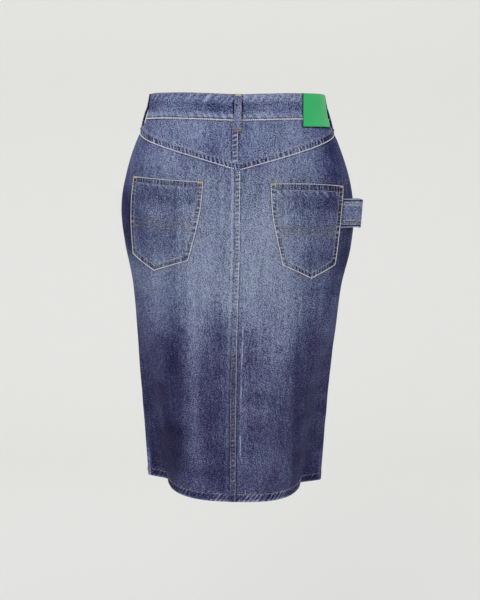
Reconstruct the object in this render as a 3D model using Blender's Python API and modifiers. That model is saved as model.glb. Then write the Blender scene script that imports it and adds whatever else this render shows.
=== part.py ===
"""Denim midi skirt in its worn, hollow shape: panels, yoke, waistband, pockets, loops and patch.

Run it with: blender --background --python part.py
Metres, +Z up. The origin is the middle of the waist opening, level with the waistband's top edge
at the centre back. -Y is the skirt's back, +Y its front, and +X the wearer's right.

Every cloth piece lies on one shared form. A place on that form is (turn, down). turn runs round
the body: 0 at the centre back, 1 and -1 at the right and left side seams, 2 or -2 at the centre
front. down is the distance below the waist plane.
"""

import math

import bpy
import numpy as np

# Driving dimensions.
LENGTH = 0.690  # waist plane to hem, as the skirt hangs
CLOTH = 0.0012  # one layer of denim
SEAM_GAP = 0.0003  # kept between pieces that are sewn together

# The form, ring by ring: half its width, its reach to the back and to the front, the half width
# of its round middle part as a share of the half width, how square that part is (2 is a true
# ellipse), the side fold's reach as such a share and half the angle of its tip, in degrees, and
# how far the ring sways to the wearer's right.
# Below the hips the cloth leaves the body, and each side seam runs out along a fold that gets
# sharper towards the hem.
SECTION_COLUMNS = (
    "down", "half_width", "back", "front", "middle", "square", "fold", "fold_angle", "sway"
)
SECTIONS = (
    (0.000, 0.1490, 0.094, 0.082, 1.000, 2.25, 0.80, 64, -0.0016),
    (0.045, 0.1585, 0.102, 0.092, 1.000, 2.25, 0.80, 64, -0.0016),
    (0.085, 0.1765, 0.111, 0.099, 1.000, 2.25, 0.80, 64, -0.0012),
    (0.140, 0.1944, 0.121, 0.105, 1.000, 2.25, 0.80, 64, 0.0004),
    (0.205, 0.2040, 0.128, 0.109, 1.000, 2.25, 0.80, 64, 0.0005),
    (0.265, 0.1984, 0.130, 0.111, 1.000, 2.25, 0.80, 64, 0.0010),
    (0.330, 0.1846, 0.129, 0.113, 1.000, 2.25, 0.85, 62, 0.0003),
    (0.400, 0.1779, 0.129, 0.119, 0.970, 2.25, 0.94, 57, -0.0005),
    (0.480, 0.1712, 0.131, 0.127, 0.900, 2.30, 1.00, 50, -0.0023),
    (0.580, 0.1638, 0.135, 0.138, 0.825, 2.45, 1.00, 42, -0.0022),
    (0.690, 0.1566, 0.139, 0.150, 0.757, 2.65, 1.00, 35, -0.0015),
)
TIP_SOFTNESS = math.radians(1.6)  # how softly the tip is pressed
BLEND = 24  # how tightly the side fold runs into the middle part
SEAM_FORWARD = (0.006, 0.030)  # side seams ahead of the origin, at the waist and at the hem
CENTRE_SHIFT = (0.002, -0.003)  # centre back seam, to the wearer's right, at waist and hem
SIDE_DROP = (0.08, 0.16), (0.0, 0.022)  # depths, and its drop there for each metre to the right

# Waistband: two layers, buttoned at the centre front with the wearer's left end on top. Its top
# edge dips towards the front and is highest between the centre back and the sides.
WAISTBAND_HEIGHT = 0.042
WAISTBAND_OUT, WAISTBAND_IN = 0.0008, -0.0018
RIM_COLUMNS = ("turn", "down")
RIM = ((0.0, 0.000), (0.5, -0.0025), (1.0, 0.001), (1.5, 0.008), (2.0, 0.012))
UNDERLAP = 0.15  # length of the under end past the centre front, in turns
LAP_LIFT = 0.0031  # how far the upper end stands out over the under end
LAP_CLIMB = (1.68, 1.82)  # where the upper end climbs, in turns

# Back yoke: its lower seam is deep at the centre back and shallow at the sides.
YOKE_CENTRE, YOKE_RISE, YOKE_CURVE = 0.1266, 0.0745, 0.0125

# Hem: turned up twice, so that the wall is thicker.
HEM_HEIGHT, HEM_WALL = 0.015, 0.0028

# Patch pockets: five-sided. The tables give their two long edges, below the top edge and from
# the centre back, and then the point, the lowest place of the foot. The right one sits a touch
# turned, nearer to the centre at its foot, and the top edge of each falls to the right.
POCKET_COLUMNS = ("below", "inner", "outer")
POCKET_LEFT_EDGES = (
    (0.000, 0.0570, 0.1965),
    (0.045, 0.0610, 0.2005),
    (0.135, 0.0825, 0.2042),
)
POCKET_RIGHT_EDGES = (
    (0.000, 0.0528, 0.2005),
    (0.045, 0.0562, 0.1930),
    (0.135, 0.0758, 0.1836),
)
POCKET_DOWN, POCKET_SLOPE = 0.147, 0.020  # depth of the top edge at the centre, and its fall
POCKETS = (  # name, side, edges, and the point: below the top edge, and from the centre back
    ("pocket_left", -1, POCKET_LEFT_EDGES, (0.158, 0.1450)),
    ("pocket_right", 1, POCKET_RIGHT_EDGES, (0.157, 0.1288)),
)

# Belt loops: folded strips that stand off the waistband between their two sewn ends.
LOOP_WIDTH, LOOP_LENGTH, LOOP_WALL = 0.0118, 0.063, 0.0020
LOOP_RISE = (0.03, 0.34, 0.68, 0.97), (0, 1, 1, 0)  # share of the length, share of the gap
LOOPS = (  # name, turn and gap
    ("belt_loop_back", 0.0, 0.0053),
    ("belt_loop_side_left", -1.0, 0.0026),
    ("belt_loop_side_right", 0.980, 0.0020),
    ("belt_loop_front_left", -1.56, 0.0053),
    ("belt_loop_front_right", 1.56, 0.0053),
)

# Leather patch over the waistband and the top of the right yoke.
PATCH_EDGES = (0.1145, 0.1893)  # from the centre back
PATCH_HEIGHT, PATCH_WALL = 0.0565, 0.0014

# Hammer loop: a wide strap that bows out from the right pocket's edge to the side seam.
STRAP_TOP, STRAP_HEIGHT, STRAP_WALL = 0.1765, 0.048, 0.0024
STRAP_CLEAR = 0.0021  # from the form at both ends: it lies on the pocket's edge and the seam
STRAP_END = 0.975  # its turn at the side seam
STRAP_BULGE = (0.0323, 0.0140)  # its outer turn, from its pocket end, in x and y
STRAP_PULL, STRAP_LEAVE = 0.014, 0.003  # how roundly it turns, and leaves the pocket

# Front closure: a zip behind the joint of the two fronts, and a tack button on the waistband.
ZIP_LENGTH, ZIP_HALF_WIDTH, ZIP_WALL = 0.130, 0.012, 0.0012
BUTTON_RADIUS, BUTTON_THICK, BUTTON_FROM_CENTRE = 0.0085, 0.0030, 0.010
BUTTON_PROFILE = (  # shares of the radius and of the thickness: shank, cap, rim and sunk face
    (0.00, 0.00),
    (0.38, 0.00),
    (0.38, 0.40),
    (0.93, 0.45),
    (1.00, 0.70),
    (0.95, 1.00),
    (0.70, 1.05),
    (0.62, 0.90),
    (0.00, 0.90),
)

# How finely the walls are divided.
QUARTER_COLUMNS, PANEL_ROWS, YOKE_ROWS, BAND_ROWS = 15, 16, 4, 4
POCKET_ACROSS, POCKET_ROWS, PATCH_ACROSS, PATCH_ROWS = 15, 10, 14, 5
LOOP_ROWS, STRAP_ROWS, STRAP_STEPS, ZIP_ROWS, BUTTON_STEPS = 15, 3, 9, 6, 24
CLOSER_AT_SIDE = 1.4  # above 1, columns crowd towards the side seams


# ---------------------------------------------------------------- the shared form


def smooth_read(table, column, at):
    """A column of a table, read at the places `at` of its first column. Between two rows it is a
    cubic, whose slopes at the rows are the rows' own average slopes."""
    rows = np.array(table, float)
    places, values = rows[:, 0], rows[:, column]
    slopes = np.gradient(values, places)
    at = np.clip(at, places[0], places[-1])
    low = np.clip(np.searchsorted(places, at, side="right") - 1, 0, len(places) - 2)
    step = places[low + 1] - places[low]
    t = (at - places[low]) / step
    rise = t * t * (3 - 2 * t)
    bend = slopes[low] * t * (1 - t) ** 2 - slopes[low + 1] * t * t * (1 - t)
    return values[low] * (1 - rise) + values[low + 1] * rise + bend * step


def section(name, down):
    return smooth_read(SECTIONS, SECTION_COLUMNS.index(name), down)


def half_rings(down, steps=160):
    """The right half of the ring at each depth, as two arrays (ring, step, xy): from the centre
    back to the side seam, and from there to the centre front. In polar form about the point
    between the side seams, the radius is a blend of a rounded oval, the middle part, and of a
    spiral that leaves the side seam at the fold's own angle."""
    down = np.atleast_1d(down).astype(float)[:, None]
    half_width = section("half_width", down)
    seam_y = SEAM_FORWARD[0] + (SEAM_FORWARD[1] - SEAM_FORWARD[0]) * down / LENGTH
    middle, tip = section("middle", down) * half_width, section("fold", down) * half_width
    square = section("square", down)
    angle = np.linspace(0, math.pi / 2, steps)[None, :]  # 0 points straight out to the side
    from_tip = np.sqrt(angle**2 + TIP_SOFTNESS**2) - TIP_SOFTNESS
    fold = tip * np.exp(-from_tip / np.tan(np.radians(section("fold_angle", down))))
    halves = []
    for reach in (-section("back", down) - seam_y, section("front", down) - seam_y):
        oval = (np.cos(angle) / middle) ** square + (np.sin(angle) / abs(reach)) ** square
        radius = (oval ** (-BLEND / square) + fold**BLEND) ** (1 / BLEND)
        x, y = radius * np.cos(angle), radius * np.sin(angle)
        x, y = x * half_width / x[:, :1], seam_y + y * reach / y[:, -1:]
        halves.append(np.stack([x, y], axis=-1))
    return halves[0][:, ::-1], halves[1]


def along(rings):
    """Distance of each point of each ring from the ring's first point."""
    steps = np.linalg.norm(np.diff(rings, axis=1), axis=2)
    return np.concatenate([np.zeros((len(rings), 1)), np.cumsum(steps, axis=1)], axis=1)


def back_width(down):
    """Width of the cloth from the centre back to the side seam, at each depth."""
    down = np.asarray(down, float)
    return along(half_rings(down.ravel())[0])[:, -1].reshape(down.shape)


def form(turn, down):
    """Points of the form. A share of a turn is that share of the cloth between two seams."""
    turn, down = np.broadcast_arrays(np.asarray(turn, float), np.asarray(down, float))
    place, depth = (turn.ravel() + 2) % 4 - 2, down.ravel()
    share, is_front = np.abs(place), np.abs(place) > 1
    backs, fronts = half_rings(depth)
    rings = np.where(is_front[:, None, None], fronts, backs)
    distance = along(rings)
    reach = (share - is_front) * distance[:, -1]
    number = np.arange(len(reach))
    before = np.clip((distance < reach[:, None]).sum(axis=1) - 1, 0, rings.shape[1] - 2)
    near, far = distance[number, before], distance[number, before + 1]
    part = ((reach - near) / (far - near))[:, None]
    x, y = (rings[number, before] * (1 - part) + rings[number, before + 1] * part).T
    shift = CENTRE_SHIFT[0] + (CENTRE_SHIFT[1] - CENTRE_SHIFT[0]) * depth / LENGTH
    x = np.copysign(x, place) + shift * np.maximum(1 - share, 0) + section("sway", depth)
    z = -depth - np.interp(depth, *SIDE_DROP) * x
    return np.stack([x, y, z], axis=-1).reshape(*turn.shape, 3)


def outward(turn, down):
    """Unit normals of the form, from small steps round it and down it."""
    round_it = form(turn + 0.004, down) - form(turn - 0.004, down)
    down_it = form(turn, down + 0.002) - form(turn, down)
    normal = np.cross(down_it, round_it)
    return normal / np.linalg.norm(normal, axis=-1, keepdims=True)


def off_form(turn, down, out):
    """Points that stand a distance out from the form."""
    turn, down, out = np.broadcast_arrays(turn, down, out)
    return form(turn, down) + outward(turn, down) * out[..., None]


def rim(turn):
    """Depth of the waistband's top edge."""
    share = np.abs((np.asarray(turn, float) + 2) % 4 - 2)
    return smooth_read(RIM, RIM_COLUMNS.index("down"), share)


def band_seam(turn):
    """Depth of the waistband's lower edge."""
    return rim(turn) + WAISTBAND_HEIGHT


def yoke_seam(turn):
    """Depth of the back yoke's lower edge."""
    share = np.abs(turn)
    return YOKE_CENTRE - YOKE_RISE * share + YOKE_CURVE * share**2


def quarter(start, margin=0.0):
    """Turns across one quarter of the skirt, from start to start + 1, closer together towards
    its side seam."""
    even = np.linspace(0, 1, QUARTER_COLUMNS)
    seam_is_last = start % 2 == 0
    crowded = 1 - (1 - even) ** CLOSER_AT_SIDE if seam_is_last else even**CLOSER_AT_SIDE
    return start + margin + (1 - 2 * margin) * crowded


# ---------------------------------------------------------------- solids


def finish(name, colour, roughness, metallic=0.0):
    made = bpy.data.materials.new(name)
    made.use_nodes = True
    shader = made.node_tree.nodes["Principled BSDF"]
    shader.inputs["Base Color"].default_value = (*colour, 1)
    shader.inputs["Roughness"].default_value = roughness
    shader.inputs["Metallic"].default_value = metallic
    return made


def add_piece(name, points, faces, material):
    mesh = bpy.data.meshes.new(name)
    mesh.from_pydata(points, [], faces)
    mesh.materials.append(material)
    piece = bpy.data.objects.new(name, mesh)
    skirt.objects.link(piece)
    return piece


def grid_faces(rows, columns, first=0):
    number = first + np.arange(rows * columns).reshape(rows, columns)
    corners = number[:-1, :-1], number[1:, :-1], number[1:, 1:], number[:-1, 1:]
    return np.stack(corners, axis=-1).reshape(-1, 4)


def fitted_wall(name, turn, down, out, into, material):
    """A wall of cloth lofted between two grids of points off the form. Both follow the form's
    own normals, so that neighbours meet along a mitre also where the form folds sharply. The
    inner faces turn about the same diagonals as the outer ones, which keeps the wall even."""
    outer, inner = off_form(turn, down, out), off_form(turn, down, into)
    rows, columns = outer.shape[:2]
    count = rows * columns
    number = np.arange(count).reshape(rows, columns)
    border = np.concatenate([number[0, :-1], number[:-1, -1], number[-1, :0:-1], number[:0:-1, 0]])
    after = np.roll(border, -1)
    edge = np.stack([border, after, after + count, border + count], axis=-1)
    back = grid_faces(rows, columns, count)[:, (0, 3, 2, 1)]
    faces = np.concatenate([grid_faces(rows, columns), back, edge])
    points = np.concatenate([outer.reshape(-1, 3), inner.reshape(-1, 3)])
    return add_piece(name, points.tolist(), faces.tolist(), material)


def thick_sheet(name, points, thickness, material):
    """An open grid of points, thickened towards its outer side with Solidify."""
    rows, columns = points.shape[:2]
    faces = grid_faces(rows, columns)
    piece = add_piece(name, points.reshape(-1, 3).tolist(), faces.tolist(), material)
    wall = piece.modifiers.new("wall", "SOLIDIFY")
    wall.thickness, wall.offset = thickness, 1
    wall.use_even_offset = True
    return piece


# ---------------------------------------------------------------- cloth on the form


def panel(name, start, top_seam):
    """A long panel, from its top seam to the hem, with a thicker wall in the turned hem."""
    turn = quarter(start, margin=SEAM_GAP / 2 / back_width(LENGTH))
    top, hem = top_seam(turn) + SEAM_GAP, LENGTH - HEM_HEIGHT
    body = top + (hem - top) * np.linspace(0, 1, PANEL_ROWS)[:, None]
    hem_rows = np.array([[hem + CLOTH], [LENGTH]]) + 0 * turn
    down = np.concatenate([body, hem_rows])
    into = np.full(down.shape, -CLOTH)
    into[PANEL_ROWS:] = -HEM_WALL
    fitted_wall(name, turn, down, 0.0, into, dark_denim)


def yoke(name, start):
    """One half of the back yoke."""
    turn = quarter(start, margin=SEAM_GAP / 2 / back_width(YOKE_CENTRE))
    top, foot = band_seam(turn) + SEAM_GAP, yoke_seam(turn)
    down = top + (foot - top) * np.linspace(0, 1, YOKE_ROWS)[:, None]
    fitted_wall(name, turn, down, 0.0, -CLOTH, denim)


def waistband():
    """The whole band in one strip, whose left end climbs over its right one."""
    quarters = [quarter(start)[:-1] for start in (-2, -1, 0, 1)]
    turn = np.concatenate([*quarters, [2, 2 + UNDERLAP / 2, 2 + UNDERLAP]])
    down = rim(turn) + WAISTBAND_HEIGHT * np.linspace(0, 1, BAND_ROWS)[:, None]
    climb = np.clip((-turn - LAP_CLIMB[0]) / (LAP_CLIMB[1] - LAP_CLIMB[0]), 0, 1)
    lift = LAP_LIFT * climb * climb * (3 - 2 * climb)
    fitted_wall("waistband", turn, down, WAISTBAND_OUT + lift, WAISTBAND_IN + lift, denim)


def pocket_edge(edges, name, below):
    return smooth_read(edges, POCKET_COLUMNS.index(name), below)


def pocket(name, side, edges, point):
    """A patch pocket: lines down the pocket, from its top edge to the two edges of its foot."""
    corner_below, corner_inner, corner_outer = edges[-1]
    point_below, point_from_centre = point
    across = np.linspace(0, 1, POCKET_ACROSS)[::side]
    foot = np.interp(
        corner_inner + (corner_outer - corner_inner) * across,
        (corner_inner, point_from_centre, corner_outer),
        (corner_below, point_below, corner_below),
    )
    below = foot * np.linspace(0, 1, POCKET_ROWS)[:, None]
    inner, outer = pocket_edge(edges, "inner", below), pocket_edge(edges, "outer", below)
    from_centre = side * (inner + (outer - inner) * across)
    down = POCKET_DOWN + below + POCKET_SLOPE * from_centre
    turn = from_centre / back_width(down)
    thick_sheet(name, off_form(turn, down, SEAM_GAP), CLOTH, dark_denim)


def belt_loop(name, turn, gap):
    """A strip that is sewn down at both ends and stands off the waistband between them."""
    share = np.linspace(0, 1, LOOP_ROWS)[:, None]
    half = LOOP_WIDTH / 2 / back_width(WAISTBAND_HEIGHT / 2)
    climb = np.interp(share, *LOOP_RISE)
    rise = climb * climb * (3 - 2 * climb)
    out = WAISTBAND_OUT + SEAM_GAP + gap * rise
    places = turn + half * np.array([-1.0, 0.0, 1.0])
    thick_sheet(name, off_form(places, rim(turn) + LOOP_LENGTH * share, out), LOOP_WALL, dark_denim)


def leather_patch():
    """A rectangle of leather, curved with the waist."""
    share = np.linspace(0, 1, PATCH_ROWS)[:, None]
    from_centre = np.linspace(*PATCH_EDGES, PATCH_ACROSS)
    turn = from_centre / back_width(PATCH_HEIGHT * share)
    down = rim(turn) + PATCH_HEIGHT * share
    points = off_form(turn, down, WAISTBAND_OUT + 2 * SEAM_GAP)
    thick_sheet("leather_patch", points, PATCH_WALL, green_leather)


def bezier(start, leave, arrive, end):
    t = np.linspace(0, 1, STRAP_STEPS)[:, None]
    near = start * (1 - t) ** 3 + 3 * leave * t * (1 - t) ** 2
    return near + 3 * arrive * t * t * (1 - t) + end * t**3


def hammer_loop():
    """A strap, level all the way: out from the pocket's edge, round, and back to the seam."""
    pull, half_pull = np.array([0, STRAP_PULL]), np.array([0, STRAP_PULL / 2])
    rows = []
    for down in STRAP_TOP + STRAP_HEIGHT * np.linspace(0, 1, STRAP_ROWS):
        below = down - POCKET_DOWN
        beside_pocket = pocket_edge(POCKET_RIGHT_EDGES, "outer", below) + STRAP_CLEAR
        start = off_form(beside_pocket / back_width(down), down, STRAP_CLEAR)[:2]
        end = off_form(STRAP_END, down, STRAP_CLEAR)[:2]
        outer = start + STRAP_BULGE
        way_out = bezier(start, start + (STRAP_PULL, STRAP_LEAVE), outer - half_pull, outer)
        way_back = bezier(outer, outer + pull, end + half_pull + (STRAP_PULL, 0), end)
        plan = np.concatenate([way_out, way_back[1:]])
        rows.append(np.column_stack([plan, np.full(len(plan), -down)]))
    thick_sheet("hammer_loop", np.array(rows), STRAP_WALL, denim)


# ---------------------------------------------------------------- front closure


def fly_zip():
    """The closed zip's tape, behind the joint of the two fronts."""
    half = ZIP_HALF_WIDTH / back_width(ZIP_LENGTH / 2)
    turn = 2 + half * np.array([-1.0, 0.0, 1.0])
    top = WAISTBAND_HEIGHT + RIM[-1][1] + CLOTH
    down = top + ZIP_LENGTH * np.linspace(0, 1, ZIP_ROWS)[:, None]
    behind = -(CLOTH + ZIP_WALL + 2 * SEAM_GAP)
    thick_sheet("fly_zip", off_form(turn, down, behind), ZIP_WALL, zip_tape)


def waist_button():
    """A tack button: a cap on a short shank, turned from one profile with Screw."""
    points = [(BUTTON_RADIUS * out, 0, BUTTON_THICK * up) for out, up in BUTTON_PROFILE]
    button = add_piece("waist_button", points, [], metal)
    button.data.edges.add(len(points) - 1)
    for number, edge in enumerate(button.data.edges):
        edge.vertices = (number, number + 1)
    turned = button.modifiers.new("turned", "SCREW")
    turned.steps = turned.render_steps = BUTTON_STEPS
    turned.use_merge_vertices = True
    turned.merge_threshold = 0.00001
    turned.use_normal_calculate = True
    turn = -2 + BUTTON_FROM_CENTRE / back_width(WAISTBAND_HEIGHT / 2)
    down = RIM[-1][1] + WAISTBAND_HEIGHT / 2
    button.location = off_form(turn, down, WAISTBAND_OUT + LAP_LIFT + SEAM_GAP)
    x, y, z = outward(turn, down)
    button.rotation_euler = (math.acos(z), 0, math.atan2(y, x) + math.pi / 2)


# ---------------------------------------------------------------- the skirt

for old in list(bpy.data.objects):
    bpy.data.objects.remove(old)
skirt = bpy.data.collections.new("denim_midi_skirt")
bpy.context.scene.collection.children.link(skirt)

denim = finish("washed_denim", (0.150, 0.180, 0.300), 0.85)
dark_denim = finish("dark_denim", (0.075, 0.080, 0.150), 0.85)
green_leather = finish("green_leather", (0.042, 0.420, 0.145), 0.45)
zip_tape = finish("zip_tape", (0.020, 0.020, 0.035), 0.8)
metal = finish("antiqued_button_metal", (0.330, 0.270, 0.200), 0.35, metallic=1.0)

waistband()
yoke("yoke_left", -1)
yoke("yoke_right", 0)
panel("back_left", -1, yoke_seam)
panel("back_right", 0, yoke_seam)
panel("front_left", -2, band_seam)
panel("front_right", 1, band_seam)
for pocket_row in POCKETS:
    pocket(*pocket_row)
for loop_row in LOOPS:
    belt_loop(*loop_row)
leather_patch()
hammer_loop()
fly_zip()
waist_button()
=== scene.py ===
"""A stiff denim midi skirt, seen from its back: yoke, patch pockets, belt loops, a leather patch
on the waistband and a hammer loop at the right side.

Metres, +Z up. -Y is the back, +Y the front and +X the wearer's right. A place on the cloth is
(turn, down): turn is 0 at the centre back, 1 and -1 at the right and left side seams and 2 or -2
at the centre front, and down is the distance below the waist.
"""

import math

import bpy
import numpy as np
from mathutils import Matrix, Vector


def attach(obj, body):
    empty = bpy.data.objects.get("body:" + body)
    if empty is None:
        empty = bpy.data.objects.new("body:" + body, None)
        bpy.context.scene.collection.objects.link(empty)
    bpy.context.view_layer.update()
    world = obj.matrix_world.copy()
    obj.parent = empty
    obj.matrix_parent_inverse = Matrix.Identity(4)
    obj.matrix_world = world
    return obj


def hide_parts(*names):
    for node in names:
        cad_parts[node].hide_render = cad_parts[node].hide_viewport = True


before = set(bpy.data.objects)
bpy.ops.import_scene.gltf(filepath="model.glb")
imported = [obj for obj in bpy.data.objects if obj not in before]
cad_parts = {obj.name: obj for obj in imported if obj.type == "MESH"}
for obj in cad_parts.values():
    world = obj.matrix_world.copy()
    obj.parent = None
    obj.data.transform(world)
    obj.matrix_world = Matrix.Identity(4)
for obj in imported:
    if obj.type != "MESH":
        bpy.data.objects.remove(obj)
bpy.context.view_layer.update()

# -------------------------------- long panels
# Two back and two front panels of 14 oz right-hand denim twill. Warp yarns are indigo, weft yarns
# white, and the whole skirt is stone washed after it is sewn: pale over the seat, dark at the hem.

LENGTH, CLOTH = 0.690, 0.0012
TURN_WIDTH = 0.26  # metres of cloth in a turn, near enough for short distances
TUCK = 0.002  # how far a panel's ends go under the seam above it and stop short of the hem's edge

# The cloth's rings, by depth: half the width, the reach to the back and to the front, the round
# middle part as a share of the half width, how square it is, the side fold as such a share, half
# the fold's angle in degrees, and how far the ring sways to the wearer's right.
SECTION_COLUMNS = (
    "down", "half_width", "back", "front", "middle", "square", "fold", "fold_angle", "sway"
)
SECTIONS = (
    (0.000, 0.1490, 0.094, 0.082, 1.000, 2.25, 0.80, 64, -0.0016),
    (0.045, 0.1585, 0.102, 0.092, 1.000, 2.25, 0.80, 64, -0.0016),
    (0.085, 0.1765, 0.111, 0.099, 1.000, 2.25, 0.80, 64, -0.0012),
    (0.140, 0.1944, 0.121, 0.105, 1.000, 2.25, 0.80, 64, 0.0004),
    (0.205, 0.2040, 0.128, 0.109, 1.000, 2.25, 0.80, 64, 0.0005),
    (0.265, 0.1984, 0.130, 0.111, 1.000, 2.25, 0.80, 64, 0.0010),
    (0.330, 0.1846, 0.129, 0.113, 1.000, 2.25, 0.85, 62, 0.0003),
    (0.400, 0.1779, 0.129, 0.119, 0.970, 2.25, 0.94, 57, -0.0005),
    (0.480, 0.1712, 0.131, 0.127, 0.900, 2.30, 1.00, 50, -0.0023),
    (0.580, 0.1638, 0.135, 0.138, 0.825, 2.45, 1.00, 42, -0.0022),
    (0.690, 0.1566, 0.139, 0.150, 0.757, 2.65, 1.00, 35, -0.0015),
)
TIP_SOFTNESS, BLEND = math.radians(1.6), 24
SEAM_FORWARD = (0.006, 0.030)  # side seams ahead of the origin, at the waist and at the hem
CENTRE_SHIFT = (0.002, -0.003)  # centre back seam, to the wearer's right, at waist and hem
SIDE_DROP = (0.08, 0.16), (0.0, 0.022)  # depths, and its drop there for each metre to the right
RIM = ((0.0, 0.000), (0.5, -0.0025), (1.0, 0.001), (1.5, 0.008), (2.0, 0.012))  # turn, down
YOKE_CENTRE, YOKE_RISE, YOKE_CURVE = 0.1266, 0.0745, 0.0125
WAISTBAND_HEIGHT = 0.042
ANGLE_STEPS, QUARTER_STEPS, DEPTH_STEP = 400, 200, 0.002  # how finely the form is tabled
ABOVE_WAIST = 0.012  # the table starts this far above the waist, for what stands proud of it


def wrap(turn):
    """The same turn from -2 to 2."""
    return (turn + 2) % 4 - 2


def past_centre(turn):
    """Turns past the nearer of the centre back and centre front."""
    return (turn + 1) % 2 - 1


def soft(value, start, end):
    """0 before start, 1 after end, and a smooth rise between them."""
    t = np.clip((value - start) / (end - start), 0, 1)
    return t * t * (3 - 2 * t)


def fall(value, start, end):
    """1 before start, 0 after end, and a smooth fall between them."""
    return 1 - soft(value, start, end)


def hump(value, start, up, down, end):
    """A smooth rise from start to up, and a smooth fall from down to end."""
    return soft(value, start, up) * fall(value, down, end)


def bell(value, centre, half_width, power=2):
    """1 at the centre, with a bell-shaped fall to either side. A higher power flattens its top."""
    return np.exp(-(((value - centre) / half_width) ** power))


def eased(steps):
    """Shares from 0 to 1, close together at both ends."""
    return 0.5 - 0.5 * np.cos(np.linspace(0, math.pi, steps))


def unit(vectors):
    """The same directions, each of length 1."""
    return vectors / np.linalg.norm(vectors, axis=-1, keepdims=True)


def distances(line):
    """How far along each line of points each point is."""
    steps = np.linalg.norm(np.diff(line, axis=-2), axis=-1)
    return np.concatenate([0 * steps[..., :1], np.cumsum(steps, axis=-1)], axis=-1)


def lean(ends, down):
    """A value that changes evenly from one at the waist to another at the hem."""
    return ends[0] + (ends[1] - ends[0]) * down / LENGTH


def between(grid, i, j, after_i, after_j, s, t):
    """Values of a grid between four neighbours."""
    near = grid[i, j] * (1 - t) + grid[i, after_j] * t
    far = grid[after_i, j] * (1 - t) + grid[after_i, after_j] * t
    return near * (1 - s) + far * s


def smooth_read(table, column, at):
    """A column of a table at the places `at` of its first column: a cubic between two rows, whose
    slopes at the rows are the rows' own average slopes. It runs on straight past the ends."""
    places, values = np.array(table, float)[:, (0, column)].T
    slopes = np.gradient(values, places)
    inside = np.clip(at, places[0], places[-1])
    low = np.clip(np.searchsorted(places, inside, side="right") - 1, 0, len(places) - 2)
    step = places[low + 1] - places[low]
    t = (inside - places[low]) / step
    bend = slopes[low] * t * (1 - t) ** 2 - slopes[low + 1] * t * t * (1 - t)
    past = (at - inside) * np.where(at < inside, slopes[0], slopes[-1])
    rise = (values[low + 1] - values[low]) * soft(t, 0, 1)
    return values[low] + rise + bend * step + past


def table_form():
    """The form as a grid (depth, turn, xyz) and its outward normals. In polar form about the point
    between the side seams, a ring's radius is a blend of a rounded oval and of a spiral that leaves
    the side seam at the fold's angle. Turns are even shares of the cloth between two seams."""
    down = np.arange(-ABOVE_WAIST, LENGTH + 3 * DEPTH_STEP, DEPTH_STEP)[:, None]
    read = {name: smooth_read(SECTIONS, k, down) for k, name in enumerate(SECTION_COLUMNS) if k}
    half_width, square = read["half_width"], read["square"]
    seam_y = lean(SEAM_FORWARD, down)
    angle = np.linspace(0, math.pi / 2, ANGLE_STEPS)[None, :]
    from_tip = np.sqrt(angle**2 + TIP_SOFTNESS**2) - TIP_SOFTNESS
    fold = read["fold"] * half_width * np.exp(-from_tip / np.tan(np.radians(read["fold_angle"])))
    share = np.linspace(0, 1, QUARTER_STEPS + 1)
    quarters = []
    for reach in (-read["back"] - seam_y, read["front"] - seam_y):
        oval = (np.cos(angle) / (read["middle"] * half_width)) ** square
        oval = oval + (np.sin(angle) / abs(reach)) ** square
        radius = (oval ** (-BLEND / square) + fold**BLEND) ** (1 / BLEND)
        x, y = radius * np.cos(angle), radius * np.sin(angle)
        ring = np.stack([x * half_width / x[:, :1], seam_y + y * reach / y[:, -1:]], axis=-1)
        distance = distances(ring) / distances(ring)[:, -1:]
        quarters.append(np.array([[np.interp(share, d, r[:, k]) for k in (0, 1)]
                                  for d, r in zip(distance, ring)]).transpose(0, 2, 1))
    back, front = quarters[0][:, ::-1], quarters[1]
    right = np.concatenate([back, front[:, 1:]], axis=1)
    whole = np.concatenate([right[:, :0:-1] * (-1, 1), right], axis=1)
    turn = np.linspace(-2, 2, 4 * QUARTER_STEPS + 1)[None, :]
    shift = lean(CENTRE_SHIFT, down) * np.maximum(1 - np.abs(turn), 0)
    x = whole[..., 0] + shift + read["sway"]
    z = -down - np.interp(down, *SIDE_DROP) * x
    points = np.stack([x, whole[..., 1], z], axis=-1)
    padded = np.concatenate([points[:, -2:-1], points, points[:, 1:2]], axis=1)
    normals = np.cross(np.gradient(points, axis=0), padded[:, 2:] - padded[:, :-2])
    return points, unit(normals)


FORM, NORMAL = table_form()


def look_up(grid, turn, down):
    """Values of a form grid at any places, linear between its points."""
    column = ((np.asarray(turn, float) + 2) % 4) * QUARTER_STEPS
    row = (np.asarray(down, float) + ABOVE_WAIST) / DEPTH_STEP
    row = np.clip(row, 0, grid.shape[0] - 1.001)
    i, j = row.astype(int), column.astype(int)
    return between(grid, i, j, i + 1, j + 1, (row - i)[..., None], (column - j)[..., None])


CLOUD_CELLS = 97  # how many steps of the noise there are before it repeats


def clouds(across, along, seed):
    """Even noise from 0 to 1, a random number at each whole place and smooth between them."""
    lattice = np.random.default_rng(seed).random((CLOUD_CELLS, CLOUD_CELLS))
    i, j = np.floor(across).astype(int), np.floor(along).astype(int)
    s, t = soft(across - i, 0, 1), soft(along - j, 0, 1)
    return between(lattice, *(k % CLOUD_CELLS for k in (i, j, i + 1, j + 1)), s, t)


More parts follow.
